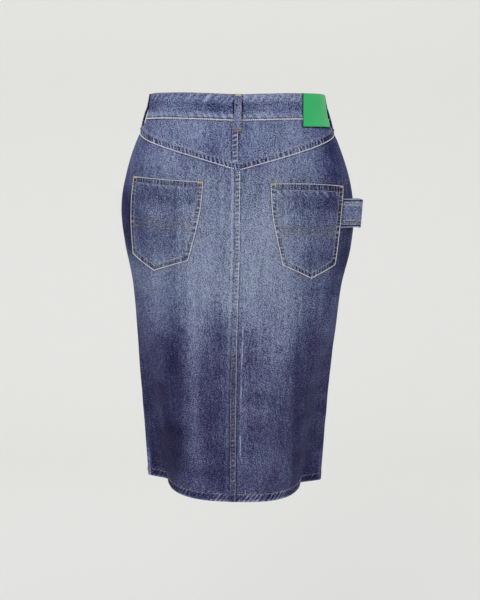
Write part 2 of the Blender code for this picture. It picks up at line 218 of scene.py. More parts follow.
# Soft creases of the stiff cloth. Each is a trough (or, below zero, a ridge) along a line from one
# place to another, with its half width and its depth in metres.
CREASE_COLUMNS = ("turn", "down", "to_turn", "to_down", "half_width", "depth")
CREASES = (
    (-0.52, 0.330, -0.66, 0.450, 0.016, 0.0016),
    (0.50, 0.335, 0.64, 0.460, 0.017, 0.0018),
    (-0.20, 0.235, -0.34, 0.225, 0.010, 0.0007),
    (0.22, 0.395, 0.30, 0.600, 0.022, -0.0012),
    (-0.24, 0.420, -0.18, 0.640, 0.024, -0.0010),
    (0.44, 0.100, 0.60, 0.130, 0.010, 0.0007),
    (-0.46, 0.112, -0.62, 0.132, 0.010, 0.0006),
    (-1.42, 0.070, -1.22, 0.150, 0.013, 0.0012),
    (1.44, 0.075, 1.24, 0.160, 0.012, 0.0011),
    (-1.70, 0.185, -1.30, 0.215, 0.013, 0.0013),
    (1.72, 0.190, 1.34, 0.235, 0.014, 0.0012),
    (-1.50, 0.400, -1.38, 0.610, 0.020, 0.0018),
    (1.48, 0.380, 1.40, 0.630, 0.021, 0.0016),
    (1.80, 0.450, 1.74, 0.640, 0.022, -0.0013),
)
CREASE_END, UNEVEN_CLOTH = 0.03, 0.0006  # how soft its ends are, and how uneven all cloth is


def creases(turn, down):
    """How far the creases push the cloth out: a bell across each line, soft at its two ends."""
    turn = wrap(turn)
    out = UNEVEN_CLOTH * (clouds(turn * 9 + 40, down * 34, 5) - 0.5)
    for first, top, last, foot, half_width, depth in CREASES:
        across, drop = (last - first) * TURN_WIDTH, foot - top
        length = math.hypot(across, drop)
        x, y = (turn - first) * TURN_WIDTH, down - top
        along = (x * across + y * drop) / length
        beside = (x * drop - y * across) / length
        ends = hump(along, -CREASE_END, CREASE_END, length - CREASE_END, length + CREASE_END)
        out = out - depth * ends * bell(beside, 0, half_width)
    return out


def on_cloth(turn, down, out=0.0):
    """Points that stand a distance out from the creased cloth."""
    turn, down, out = np.broadcast_arrays(turn, down, out)
    lift = (out + creases(turn, down))[..., None]
    return look_up(FORM, turn, down) + look_up(NORMAL, turn, down) * lift


def yoke_seam(turn):
    """Depth of the yoke's lower edge."""
    share = np.abs(turn)
    return YOKE_CENTRE - YOKE_RISE * share + YOKE_CURVE * share**2


def rim(turn):
    """Depth of the waistband's top edge."""
    return smooth_read(RIM, 1, np.abs(wrap(turn)))


def band_seam(turn):
    """Depth of the waistband's lower edge."""
    return rim(turn) + WAISTBAND_HEIGHT


ROW_DOWN = np.arange(FORM.shape[0]) * DEPTH_STEP - ABOVE_WAIST
STEPS = np.linalg.norm(np.diff(FORM, axis=1), axis=2)
BACK_WIDTH = STEPS[:, 2 * QUARTER_STEPS : 3 * QUARTER_STEPS].sum(axis=1)
FRONT_WIDTH = STEPS[:, 3 * QUARTER_STEPS :].sum(axis=1)
FRONTS_APART = 0.7  # where the fronts lie on the flat cloth


def back_width(down):
    """Width of the cloth from the centre back to the side seam."""
    return np.interp(down, ROW_DOWN, BACK_WIDTH)


def flat_place(turn, down):
    """Place on the flat cloth in metres: the distance from the centre back or front, and -down."""
    place = wrap(turn)
    from_front = np.sign(place) * (2 - np.abs(place)) * np.interp(down, ROW_DOWN, FRONT_WIDTH)
    across = np.where(np.abs(place) <= 1, place * back_width(down), FRONTS_APART - from_front)
    return across, -down


# How pale the wash leaves the cloth, by depth: 0 is unwashed indigo and 1 the palest blue. The
# seat is palest between the pockets, and the sides stay darker, the right one most.
WASH_COLUMNS = ("down", "middle", "left", "right")
WASH = (
    (0.000, 0.60, 0.62, 0.60),
    (0.050, 0.64, 0.65, 0.58),
    (0.085, 0.62, 0.60, 0.55),
    (0.125, 0.61, 0.56, 0.54),
    (0.180, 0.72, 0.42, 0.46),
    (0.250, 0.79, 0.40, 0.44),
    (0.300, 0.79, 0.54, 0.44),
    (0.345, 0.69, 0.50, 0.42),
    (0.385, 0.55, 0.35, 0.33),
    (0.425, 0.44, 0.24, 0.24),
    (0.470, 0.345, 0.165, 0.18),
    (0.530, 0.295, 0.140, 0.175),
    (0.620, 0.260, 0.130, 0.160),
    (0.690, 0.235, 0.135, 0.140),
)
WASH_EDGE = (0.078, 0.122)  # the pale middle ends between these distances from the centre
# Painted shade for the sides: cloth turned sideways, away from the camera and lights, is painted
# darker down to some depth.
SIDE_PAINTED_SHADE = (0.08, 0.50), (0.29, 0.43), 0.25  # turned away from and to, until (down), how dark
# Soft upright streaks and patches of the wash, and how much paler than the cloth around them.
STREAK_COLUMNS = ("across", "half_width", "top", "foot", "paler")
STREAKS = (
    (-0.071, 0.009, 0.18, 0.62, 0.09),
    (-0.025, 0.018, 0.16, 0.30, -0.11),
    (-0.024, 0.018, 0.38, 0.44, -0.11),
    (-0.038, 0.022, 0.34, 0.66, -0.09),
    (-0.040, 0.030, 0.05, 0.12, -0.14),
    (0.010, 0.020, 0.05, 0.11, -0.08),
    (-0.0245, 0.0035, 0.07, 0.10, 0.20),
    (-0.098, 0.016, 0.25, 0.64, -0.13),
    (-0.120, 0.009, 0.47, 0.66, -0.05),
    (0.026, 0.020, 0.11, 0.20, -0.09),
    (0.012, 0.005, 0.42, 0.64, 0.08),
    (0.048, 0.022, 0.14, 0.32, 0.05),
    (0.045, 0.024, 0.44, 0.51, -0.08),
    (0.048, 0.022, 0.44, 0.66, 0.05),
    (0.160, 0.020, 0.08, 0.18, -0.16),
    (0.104, 0.012, 0.38, 0.66, -0.08),
    (-0.176, 0.018, 0.290, 0.325, 0.28),
    (-0.139, 0.014, 0.297, 0.39, 0.18),
    (-0.031, 0.019, 0.02, 0.04, -0.28),
    (0.018, 0.018, 0.02, 0.045, -0.12),
    (-0.163, 0.015, 0.19, 0.25, -0.44),
    (-0.124, 0.018, 0.19, 0.23, 0.42),
    (0.076, 0.012, 0.19, 0.22, 0.22),
    (0.004, 0.022, 0.39, 0.43, -0.16),
    (0.000, 0.016, 0.045, 0.05, -0.24),
    (-0.126, 0.022, 0.09, 0.12, 0.12),
    (-0.040, 0.018, 0.10, 0.12, -0.09),
    (0.040, 0.020, 0.19, 0.27, 0.09),
    (-0.080, 0.018, 0.40, 0.44, -0.09),
    (0.000, 0.018, 0.62, 0.68, -0.08),
    (-0.038, 0.020, 0.27, 0.29, -0.12),
    (-0.038, 0.020, 0.45, 0.50, -0.08),
)
STREAK_ENDS = (0.03, 0.04)  # how soft their tops and feet are


def wash_and_side_shade(turn, down):
    """The table's middle column near the centre of the back and front, and a side column beyond,
    with soft clouds and upright streaks, and painted shade where the cloth turns sideways."""
    x = look_up(FORM, turn, down)[..., 0]
    middle, left, right = (smooth_read(WASH, k, down) for k in (1, 2, 3))
    waver = 0.014 * (clouds(x * 30 + 11, down * 30 + 3, 8) - 0.5)
    beyond = soft(np.abs(x) + waver, *WASH_EDGE)
    pale = middle + (np.where(x > 0, right, left) - middle) * beyond
    wander = 0.004 * (clouds(down * 22, 0, 12) - 0.5)
    for across, half_width, top, foot, paler in STREAKS:
        up, low = STREAK_ENDS
        ends = hump(down, top - up, top + up, foot - low, foot + low)
        pale = pale + paler * ends * bell(x - wander, across, half_width)
    # Painted shade: darker where the cloth's normal turns from facing back or front to facing
    # sideways.
    turned_away, until, darker = SIDE_PAINTED_SHADE
    aside = soft(1 - np.abs(look_up(NORMAL, turn, down)[..., 1]), *turned_away)
    pale = pale - darker * aside * fall(down, *until)
    return pale + 0.12 * (clouds(x * 45 + 20, down * 45, 2) - 0.5)


def linear(code):
    """An sRGB hex colour as linear red, green, blue and alpha."""
    values = np.array([int(code[k : k + 2], 16) for k in (1, 3, 5)]) / 255
    values = np.where(values <= 0.04045, values / 12.92, ((values + 0.055) / 1.055) ** 2.4)
    return (*values.tolist(), 1.0)


def new_material(name):
    """A material of one shader."""
    made = bpy.data.materials.new(name)
    made.use_nodes = True
    return made


def set_inputs(tree, node, inputs):
    """Each input is a value or another node's output socket."""
    for socket, value in inputs.items():
        if isinstance(value, bpy.types.NodeSocket):
            tree.links.new(value, node.inputs[socket])
        else:
            node.inputs[socket].default_value = value


def finish(material, inputs):
    """The material, once its shader has these inputs."""
    tree = material.node_tree
    set_inputs(tree, tree.nodes["Principled BSDF"], inputs)
    return material


def add_node(tree, kind, inputs, **settings):
    """One shader node."""
    made = tree.nodes.new(kind)
    for key, value in settings.items():
        setattr(made, key, value)
    set_inputs(tree, made, inputs)
    return made


def maths(tree, operation, *values):
    """The result of a maths node."""
    made = add_node(tree, "ShaderNodeMath", dict(enumerate(values)), operation=operation)
    return made.outputs[0]


def carry(tree, value, start, end, low=0.0, high=1.0):
    """A value carried from the range start to end into the range low to high, and held there."""
    inputs = {"Value": value, "From Min": start, "From Max": end, "To Min": low, "To Max": high}
    return add_node(tree, "ShaderNodeMapRange", inputs).outputs["Result"]


def noise(tree, place, scale, detail, dimensions="2D"):
    """Noise over a place."""
    inputs = {"Vector": place, "Scale": scale, "Detail": detail}
    made = add_node(tree, "ShaderNodeTexNoise", inputs, noise_dimensions=dimensions)
    return made.outputs["Fac"]


def mix(tree, share, first, second):
    """A share of the way from one colour to another."""
    inputs = {"Factor": share, 6: first, 7: second}
    return add_node(tree, "ShaderNodeMix", inputs, data_type="RGBA").outputs[2]


def ramp(tree, value, stops):
    """The colour at a value between stops (place, colour)."""
    made = add_node(tree, "ShaderNodeValToRGB", {"Fac": value})
    elements = made.color_ramp.elements
    for place, _ in stops[1:-1]:
        elements.new(place)
    for element, (place, code) in zip(elements, stops):
        element.position, element.color = place, linear(code)
    return made.outputs["Color"]


def bumped(tree, height, strength, distance):
    """The shading of a fine relief."""
    inputs = {"Height": height, "Strength": strength, "Distance": distance}
    return add_node(tree, "ShaderNodeBump", inputs).outputs["Normal"]


def read_layer(tree, key):
    """A value that the mesh carries."""
    return add_node(tree, "ShaderNodeAttribute", {}, attribute_name=key).outputs["Fac"]


def object_place(tree):
    """The place in the object's own metres."""
    return add_node(tree, "ShaderNodeTexCoord", {}).outputs["Object"]


# Indigo denim: the colour of the yarns at rising degrees of wash, as (place, colour).
INDIGO = (
    (0.00, "#14132b"),
    (0.15, "#2b2b4c"),
    (0.28, "#404169"),
    (0.50, "#5b6188"),
    (0.80, "#7d8aab"),
    (1.00, "#adb8ce"),
)
WHITE_WEFT = "#b9bcc4"
# The cloth's layers of unevenness, in metres: width and length of a mark, its lean, how many
# finer layers it holds, and its strength. Twill lines are 0.8 mm apart, and drawn 1 mm apart so
# that they show. Uneven yarns streak it lengthwise, from single ones to bands of them.
GRAIN_COLUMNS = ("across", "along", "lean", "detail", "strength")
GRAIN = (
    (0.0010, 0.0019, math.radians(30), 1.0, 1.90),
    (0.0009, 0.0010, 0.0, 0.0, 1.25),
    (0.0010, 0.0150, 0.0, 1.0, 0.55),
    (0.0040, 0.0080, math.radians(24), 2.0, 0.42),
    (0.0075, 0.100, 0.0, 1.0, 0.20),
    (0.024, 0.120, 0.0, 2.0, 0.20),
)
UNEVEN = 2.15, 0.40  # how much more of it shows on washed cloth, and how much on unwashed cloth
# Fine broken lines where the cloth creased in the wash: their spacing, their half width as a
# share of the noise they follow, and their strength.
WISPS = 0.011, 0.014, 0.13
BARED = 0.75  # how much paler full wear makes the cloth
# The dye turns from a blue to a violet cast and back: the size of such a cloud, the range of the
# noise that it takes up, and the turn.
CAST_CLOUD, CAST_RANGE, CAST = 0.045, (0.3, 0.7), 0.009
# It is more violet and greyer low down, and deeper above the yoke's seam: heights between which
# that sets in, and the change of hue and of saturation.
CAST_LOW = (-0.34, -0.44), 0.008, -0.07
CAST_HIGH = (-0.14, -0.11), 0.005, 0.09
SATURATION = 1.06  # elsewhere


def denim(name, white_weft=0.0):
    """Cotton twill: matt, with worn and unworn yarns side by side. The wash sets the colour, and
    the layers of unevenness break it up. Wear bares the white weft yarns, which cover the share
    white_weft of the reverse side."""
    material = new_material(name)
    tree = material.node_tree
    cloth = add_node(tree, "ShaderNodeUVMap", {}, uv_map="cloth").outputs["UV"]
    washed, pale, marks = read_layer(tree, "wash_and_side_shade"), 0.0, []
    for across, along, lean, detail, strength in GRAIN:
        turned = add_node(tree, "ShaderNodeMapping", {"Vector": cloth, "Rotation": (0, 0, lean)})
        inputs = {0: turned.outputs["Vector"], 1: (1 / across, 1 / along, 1)}
        place = add_node(tree, "ShaderNodeVectorMath", inputs, operation="MULTIPLY")
        marks.append(noise(tree, place.outputs["Vector"], 1.0, detail))
        even = maths(tree, "SUBTRACT", marks[-1], 0.5)
        pale = maths(tree, "MULTIPLY_ADD", even, strength, pale)
    pale = maths(tree, "MULTIPLY_ADD", pale, maths(tree, "MULTIPLY_ADD", washed, *UNEVEN), washed)
    spacing, half_width, strength = WISPS
    from_line = maths(tree, "SUBTRACT", noise(tree, cloth, 1 / spacing, 2.0), 0.5)
    line = carry(tree, maths(tree, "ABSOLUTE", from_line), 0.0, half_width, 1.0, 0.0)
    pale = maths(tree, "MULTIPLY_ADD", line, strength, pale)
    # The wear layer pales worn yarns; below zero it darkens them, and there it also carries painted
    # shade and shadow.
    pale = maths(tree, "MULTIPLY_ADD", read_layer(tree, "wear_and_shade"), BARED, pale)
    hue = carry(tree, noise(tree, cloth, 1 / CAST_CLOUD, 2.0), *CAST_RANGE, 0.5 - CAST, 0.5 + CAST)
    height = add_node(tree, "ShaderNodeSeparateXYZ", {"Vector": object_place(tree)}).outputs["Z"]
    saturation = SATURATION
    for (start, end), turn, change in (CAST_LOW, CAST_HIGH):
        there = carry(tree, height, start, end)
        hue = maths(tree, "MULTIPLY_ADD", there, turn, hue)
        saturation = maths(tree, "MULTIPLY_ADD", there, change, saturation)
    inputs = {"Hue": hue, "Saturation": saturation, "Color": ramp(tree, pale, INDIGO)}
    yarns = add_node(tree, "ShaderNodeHueSaturation", inputs).outputs["Color"]
    return finish(material, {
        "Base Color": mix(tree, white_weft, yarns, linear(WHITE_WEFT)),
        "Normal": bumped(tree, marks[0], 0.35, 0.0005),
        "Roughness": 0.95,
        "Specular IOR Level": 0.06,
    })


# Its face and its reverse side, where more of the white weft shows.
DENIM = denim("stone_washed_denim_twill"), denim("denim_twill_reverse", white_weft=0.45)


def new_piece(name, points, faces, material):
    """A smooth mesh of one material, in the scene."""
    mesh = bpy.data.meshes.new(name)
    mesh.from_pydata(points.reshape(-1, 3).tolist(), [], faces)
    mesh.polygons.foreach_set("use_smooth", [True] * len(mesh.polygons))
    mesh.materials.append(material)
    piece = bpy.data.objects.new(name, mesh)
    bpy.context.scene.collection.objects.link(piece)
    return piece


def set_layer(piece, key, values):
    """A value for each point of a piece, which its material can read."""
    piece.data.attributes.new(key, "FLOAT", "POINT").data.foreach_set("value", values)


def shell(name, points, pale, wear_and_shade, flat, wall, materials, node):
    """A thin wall of cloth inside a grid of points (row, column, xyz), which replaces a node if one
    is named. It carries how pale and how worn each point is, and its place on the flat cloth in
    metres. The paleness from the wash holds painted shade on the sides. Wear below 0 is darker
    cloth: partly unfaded indigo, partly painted shade and shadow. A second material is the
    reverse side's."""
    rows, columns = points.shape[:2]
    number = np.arange(rows * columns).reshape(rows, columns)
    corners = number[:-1, :-1], number[1:, :-1], number[1:, 1:], number[:-1, 1:]
    faces = np.stack(corners, axis=-1).reshape(-1, 4)
    piece = new_piece(name, points, faces.tolist(), materials[0])
    for key, values in (("wash_and_side_shade", pale), ("wear_and_shade", wear_and_shade)):
        set_layer(piece, key, np.broadcast_to(values, (rows, columns)).ravel())
    places = np.stack(np.broadcast_arrays(*flat, points[..., 0])[:2], axis=-1).reshape(-1, 2)
    piece.data.uv_layers.new(name="cloth").data.foreach_set("uv", places[faces.ravel()].ravel())
    for reverse in materials[1:]:
        piece.data.materials.append(reverse)
    solid = piece.modifiers.new("wall", "SOLIDIFY")
    solid.thickness, solid.offset, solid.material_offset = wall, -1, len(materials) - 1
    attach(piece, "root")
    if node:
        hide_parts(node)
    return piece


def cover(name, turn, down, out, wear_and_shade, wall, pale=None, flat=None, node=None):
    """A shell of denim that stands a distance out from the creased cloth. Unless it says otherwise
    it is washed and laid flat as the cloth under it."""
    pale = wash_and_side_shade(turn, down) if pale is None else pale
    flat = flat_place(turn, down) if flat is None else flat
    return shell(name, on_cloth(turn, down, out), pale, wear_and_shade, flat, wall, DENIM, node)


def panel(node, start, top_seam):
    """A long panel from just under the seam above it to the hem, close-stepped at its side seam."""
    share = np.linspace(0, 1, 60)
    turn = start + (1 - (1 - share) ** 1.5 if start % 2 == 0 else share**1.5)
    top = top_seam(turn)
    down = top - TUCK + (LENGTH - TUCK - top) * np.linspace(0, 1, 160)[:, None]
    return cover(node + "_cloth", turn, down, 0.0, 0.0, CLOTH, node=node)


back_left = panel("back_left", -1, yoke_seam)
back_right = panel("back_right", 0, yoke_seam)
front_left = panel("front_left", -2, band_seam)
front_right = panel("front_right", 1, band_seam)

# -------------------------------- centre and side seams
# The centre back and front seams are flat-felled: each right edge is folded over the left one and
# sewn down by two rows. The side seams are overlocked inside, and their allowances lift a ridge
# that the wash rubs pale.

# The two rows beside the line between the panels, by depth. The seam wanders as it was sewn, and
# the yoke's own seam doesn't quite meet the one below it.
FELL_COLUMNS = ("down", "left_row", "right_row")
FELL = (
    (0.000, -0.0086, -0.0004),
    (0.119, -0.0086, -0.0004),
    (0.121, -0.0038, 0.0026),
    (0.300, -0.0038, 0.0026),
    (0.400, -0.0046, 0.0023),
    (0.490, -0.0046, 0.0042),
    (0.690, -0.0038, 0.0043),
)
FELL_TURN, RIDGE_ASIDE = 0.0015, 0.0058  # its fold and the ridge of its allowance, left of the rows
STRIP_WALL, STRIP_STEP, STRIP_END = 0.0010, 0.0016, LENGTH - 0.0012
PUCKER = 0.0066  # distance between the puckers that shrunk thread pulls into a seam
ROW_GROOVE = 0.0007  # half the width of the groove that a row of stitches pulls


def puckers(along, beside, seed, length=PUCKER):
    """Ripples from 0 to 1 across a seam, at uneven steps and of uneven strength."""
    phase = along / length + 1.1 * clouds(along / (2.6 * length), beside / 0.03, seed)
    wave = 0.5 + 0.5 * np.sin(math.tau * (phase + 35 * beside))
    strength = clouds(along / (0.8 * length), beside / 0.02, seed + 1)
    return soft(wave, 0.42, 1.0) * (0.25 + 0.75 * strength)


def row_groove(distance, rows):
    """A groove of depth 1 at each row of stitches."""
    return sum(bell(distance, row, ROW_GROOVE) for row in rows)


def fell_rows(down):
    """Where the felled seam's two rows are beside the line between the panels."""
    table = np.array(FELL)
    return [np.interp(down, table[:, 0], table[:, k]) for k in (1, 2)]


def centre_relief(turn, down):
    """Height and wear of the felled centre seam: a step at its fold, grooves at its rows, puckers
    between them, a ridge over its allowance, a rubbed streak beside it, and painted shadow lines
    beside the step's fold and past the second row."""
    beside = past_centre(turn) * back_width(down)
    first, second = fell_rows(down)
    fold, past_second = beside - first + FELL_TURN, beside - second
    top = soft(fold, -0.0003, 0.0004) * fall(past_second, 0.0015, 0.0031)
    between = soft(beside - first, -0.0006, 0.001) * fall(past_second, -0.001, 0.0006)
    wave = puckers(down, beside, 21)
    groove = row_groove(beside, (first, second))
    ridge = fall(np.abs(beside - first + RIDGE_ASIDE), 0.0015, 0.0025)
    ridge = ridge * soft(down, YOKE_CENTRE - 0.009, YOKE_CENTRE - 0.003)
    height = 0.0002 + 0.0011 * top - 0.0004 * groove + 0.0003 * ridge
    height = height + 0.0006 * between * (wave - 0.5)
    faint = 1 - 0.6 * soft(down, 0.28, 0.42)
    sparse = 1 - soft(down, 0.30, 0.42) * fall(clouds(down / 0.007, 0, 27), 0.37, 0.62)
    rungs = 1.75 * wave * (0.25 + 0.75 * sparse)
    # Painted shadow lines beside the step's fold and just past the second row.
    fold_shadow_lines = 0.42 * bell(fold, -0.0003, 0.0009) + 0.55 * bell(past_second, 0.0017, 0.0009)
    upper = 0.25 + 0.75 * fall(down, 0.26, 0.46)
    streak = bell(beside - 0.0006 * clouds(down / 0.03, 0, 7), 0.0122, 0.0010)
    streak = streak * clouds(down / 0.011, 0, 29) * hump(down, 0.34, 0.40, 0.59, 0.63)
    wear_and_shade = faint * (between * (rungs - 0.36 * faint) - fold_shadow_lines)
    wear_and_shade = wear_and_shade + 0.50 * ridge * upper * (0.8 + 0.6 * wave) + 1.1 * streak - 0.15 * groove
    return height, wear_and_shade


def centre_fell(name, turn_at, top, foot, lift=0.0):
    """A felled centre seam as a strip that lies on both of its panels, with its edges sunk."""
    beside = np.array([-0.0165, -0.0150, *np.linspace(-0.0138, 0.0148, 48), 0.0160, 0.0172])
    down = np.linspace(top, foot, int((foot - top) / STRIP_STEP))[:, None]
    turn = turn_at + beside / back_width(down)
    height, wear_and_shade = centre_relief(turn, down)
    sunk = 0.0009 * (1 - hump(beside, -0.0165, -0.0135, 0.0150, 0.0172))
    return cover(name, turn, down, height - sunk + lift, wear_and_shade, STRIP_WALL)


def side_ridge(name, side, rubbed):
    """The ridge beside a side seam: pale broken rubbing over the allowances, dark in the joint."""
    beside = np.array([-0.0190, -0.0175, *np.linspace(-0.0160, 0.0040, 26), 0.0055])
    if side < 0:
        beside = -beside[::-1]
    down = np.linspace(0.062, STRIP_END, 370)[:, None]
    back = side * beside
    ridge = hump(back, -0.0135, -0.0080, -0.0030, -0.0004)
    joint = bell(back, 0.0002, 0.0006)
    wave = puckers(down, back, 90 + side, 0.009)
    rubbed = rubbed * (0.03 + 0.97 * soft(down, 0.61, 0.668))
    sunk = 0.0008 * (1 - hump(back, -0.0190, -0.0160, 0.0036, 0.0052))
    height = 0.0001 + 0.0006 * ridge - 0.0005 * joint - sunk
    wear_and_shade = ridge * rubbed * (0.50 + 0.50 * wave) - 0.30 * joint
    return cover(name, side + beside / back_width(down), down, height, wear_and_shade, STRIP_WALL)


centre_back = centre_fell("centre_back_seam", 0.0, YOKE_CENTRE - 0.006, STRIP_END)
centre_front = centre_fell("centre_front_seam", 2.0, band_seam(2.0) - 0.001, STRIP_END)
side_ridge("side_seam_left", -1, 1.0)
side_ridge("side_seam_right", 1, 0.5)

# -------------------------------- hem
# The panels' lower edge, turned up twice and sewn by one row. The turn twists as it shrinks, which
# ropes it: slanting puckers that the wash rubs pale, over a thick rounded edge.

HEM_HEIGHT, HEM_ROW, HEM_WALL = 0.015, 0.0136, 0.0026


def hem_relief(turn, down):
    """Height and wear of the hem: thicker cloth, slanting ropes, a groove at its row, and rubbing
    above it, most near the centre back and on the right."""
    above = LENGTH - down
    over_row = above - HEM_ROW
    along = wrap(turn) * back_width(down)
    rope = puckers(along - 0.8 * above, 0, 31, 0.0078)
    tug = puckers(along - 0.3 * above, 0, 57, 0.0092)
    patchy = clouds(along / 0.03, 0, 12)
    body = fall(above, HEM_HEIGHT - 0.0004, HEM_HEIGHT + 0.0012)
    groove = row_groove(above, (HEM_ROW,))
    height = 0.0001 + 0.0008 * body + 0.0009 * body * (rope - 0.5)
    height = height - 0.0004 * groove - 0.0011 * fall(above, 0.0, 0.0016)
    middle = bell(along, 0.012, 0.045)
    right = soft(along, -0.06, 0.03) * fall(np.abs(wrap(turn)), 1.4, 1.8)
    rubbed = rope * (0.35 + 0.8 * patchy + 0.3 * middle) * (0.55 + 0.75 * right)
    wear_and_shade = body * (-0.24 + 0.95 * rubbed)
    wear_and_shade = wear_and_shade + fall(above, 0.0010, 0.0050) * (0.30 + 0.4 * patchy + 0.8 * rubbed)
    wear_and_shade = wear_and_shade + 0.75 * hump(over_row, 0.0, 0.0008, 0.0010, 0.0075) * tug * patchy
    wear_and_shade = wear_and_shade + 0.30 * hump(over_row, -0.0030, -0.0018, -0.0014, -0.0004)
    return height, wear_and_shade - 0.20 * groove


def hem():
    """The hem all round as one strip. Its upper edge sinks into the panels, and it is thicker where
    the centre seams cross it."""
    turn = np.linspace(-2, 2, 720)
    rows = [0.0205, 0.0190, *np.linspace(0.0178, 0.0010, 20), 0.0006, 0.0003, 0.0]
    above = np.array(rows)[:, None]
    height, wear_and_shade = hem_relief(turn, LENGTH - above)
    crossing = 0.0011 * bell(past_centre(turn) * TURN_WIDTH, -0.002, 0.005, 4)
    out = height + crossing - 0.0009 * soft(above, 0.0180, 0.0205)
    return cover("hem_cloth", turn, LENGTH - above, out, wear_and_shade, HEM_WALL)


hem_cloth = hem()

# -------------------------------- back yoke
# Two halves of the same denim between the waistband and the long back panels. Its lower edge is
# folded and felled over the panels by two rows of stitches, whose shrinkage puckers the seam.

YOKE_WIDTH, YOKE_LIFT = 0.21, 0.0004  # of each half, and how far it stands off the cloth's form
YOKE_ROWS = (0.0010, 0.0094)  # the two rows above the yoke's lower edge
YOKE_FELL_WALL = 0.0011
BAND_LAP = 0.0026  # how far the waistband laps over the top of the yoke and the fronts
LOOP_WIDTH, LOOP_LENGTH, LOOP_WALL = 0.0118, 0.063, 0.0020
FREE_RISE = (0.03, 0.34, 0.68, 0.97), (0, 1, 1, 0)  # shares of a belt loop's length and its gap
SIDE_RISE = (0.03, 0.36, 0.56, 0.70, 0.97), (0, 0.36, 1, 1, 0)  # it hugs the waistband there
LOOPS = (  # name, turn, gap, wall and rise; folded thicker at the sides, where they lie nearly flat
    ("belt_loop_back", 0.0, 0.0053, LOOP_WALL, FREE_RISE),
    ("belt_loop_side_left", -1.0, 0.0026, 0.0026, SIDE_RISE),
    ("belt_loop_side_right", 0.980, 0.0020, 0.0030, SIDE_RISE),
    ("belt_loop_front_left", -1.56, 0.0053, LOOP_WALL, FREE_RISE),
    ("belt_loop_front_right", 1.56, 0.0053, LOOP_WALL, FREE_RISE),
)
PATCH_LEFT, PATCH_WIDTH, PATCH_HEIGHT, PATCH_WALL = 0.1145, 0.0748, 0.0565, 0.0014  # the leather


def yoke_relief(turn, down):
    """Height and wear of the yoke's felled edge, by the distance above it, with a painted shadow
    line below its fold.
    """
    above = yoke_seam(turn) - down
    low, high = YOKE_ROWS
    along = turn * back_width(down)
    between = hump(above, low, low + 0.0014, high - 0.0012, high + 0.0004)
    beyond = hump(above - high, 0.0004, 0.0014, 0.0016, 0.0052)
    beyond = beyond * (0.35 + 0.65 * clouds(along / 0.012, 0, 48))
    wave = puckers(along, above, 47)
    groove = row_groove(above, YOKE_ROWS)
    height = 0.0001 + 0.0013 * hump(above, -0.0003, 0.0004, 0.0105, 0.0135)
    height = height + 0.0007 * between * (wave - 0.5) - 0.0004 * groove
    wear_and_shade = between * (1.65 * wave - 0.55) + 0.40 * beyond + 0.40 * bell(above, 0.0002, 0.0006)
    # Painted shadow: a dark line on the panel just below the fold of the yoke's edge.
    return height, wear_and_shade - 0.46 * bell(above, -0.0014, 0.0009) - 0.12 * groove


def painted_contact_shadow(turn, down):
    """Painted contact shadow: a dark line on the cloth along the edges of each belt loop and of the
    patch, and painted shade on the cloth under the loops.
    """
    place, width, below = wrap(turn), back_width(down), down - rim(turn)
    shade = 0.0
    for _, at, *_ in LOOPS:
        beside = np.abs(place - at) * width - LOOP_WIDTH / 2
        edge, under = bell(beside, 0.0008, 0.0013), 0.6 * fall(beside, -0.001, 0.0)
        shade = np.maximum(shade, np.maximum(edge, under))
    shade = shade * fall(below, LOOP_LENGTH, LOOP_LENGTH + 0.002)
    beside = np.abs(place * width - PATCH_LEFT - PATCH_WIDTH / 2) - PATCH_WIDTH / 2
    outside = np.maximum(beside, below - PATCH_HEIGHT)
    return np.maximum(shade, 0.9 * bell(outside, 0.0005, 0.0011))


def yoke(node, start):
    """Half of the yoke, from under the waistband to just under its own folded edge."""
    turn = np.linspace(start, start + 1, 150)
    top, foot = band_seam(turn) - 0.003, yoke_seam(turn) - TUCK
    down = top + (foot - top) * np.linspace(0, 1, 44)[:, None]
    out = YOKE_LIFT * fall(down - yoke_seam(turn), -0.010, -0.006)
    # Painted shadow just below the waistband's lower edge, and painted contact shadows beside the
    # loops and the patch.
    wear_and_shade = -0.25 * bell(down - band_seam(turn), BAND_LAP, 0.0014) - painted_contact_shadow(turn, down)
    return cover(node + "_cloth", turn, down, out, wear_and_shade, CLOTH, node=node)


def yoke_fell():
    """The felled lower edge of the whole yoke, as a strip over the panels."""
    turn = np.linspace(-1, 1, 400)
    above = np.array([0.0165, 0.0150, *np.linspace(0.0138, -0.0026, 25), -0.0036])[:, None]
    down = yoke_seam(turn) - above
    height, wear_and_shade = yoke_relief(turn, down)
    crossing = 0.0012 * bell(turn * YOKE_WIDTH, -0.002, 0.0055, 4)
    sunk = 0.0010 * fall(above, -0.0036, -0.0022) + 0.0006 * soft(above, 0.0150, 0.0165)
    out = height + crossing + 0.0003 * soft(above, 0.010, 0.0135) - sunk
    return cover("yoke_felled_edge", turn, down, out, wear_and_shade, YOKE_FELL_WALL)


yoke_left = yoke("yoke_left", -1)
yoke_right = yoke("yoke_right", 0)
yoke_edge = yoke_fell()
yoke_centre = centre_fell(
    "yoke_centre_seam", 0.0, band_seam(0.0) - 0.001, YOKE_CENTRE - 0.0095, YOKE_LIFT
)

# -------------------------------- waistband
# A straight strip of the same denim, cut lengthwise and folded along its top edge, sewn on with a
# row of stitches near each edge. Its left end buttons over its right one at the centre front.

BAND_OUT, BAND_WALL = 0.0008, 0.0026
BAND_TURN = 0.205  # metres of waistband in a turn
UNDERLAP, LAP_LIFT, LAP_CLIMB = 0.15, 0.0031, (1.68, 1.82)
BAND_ROWS = (0.0018, 0.0432)  # rows of stitches below the top edge
BAND_FOOT = WAISTBAND_HEIGHT + BAND_LAP
BAND_CUT = 0.3  # where it lies on the flat cloth, across


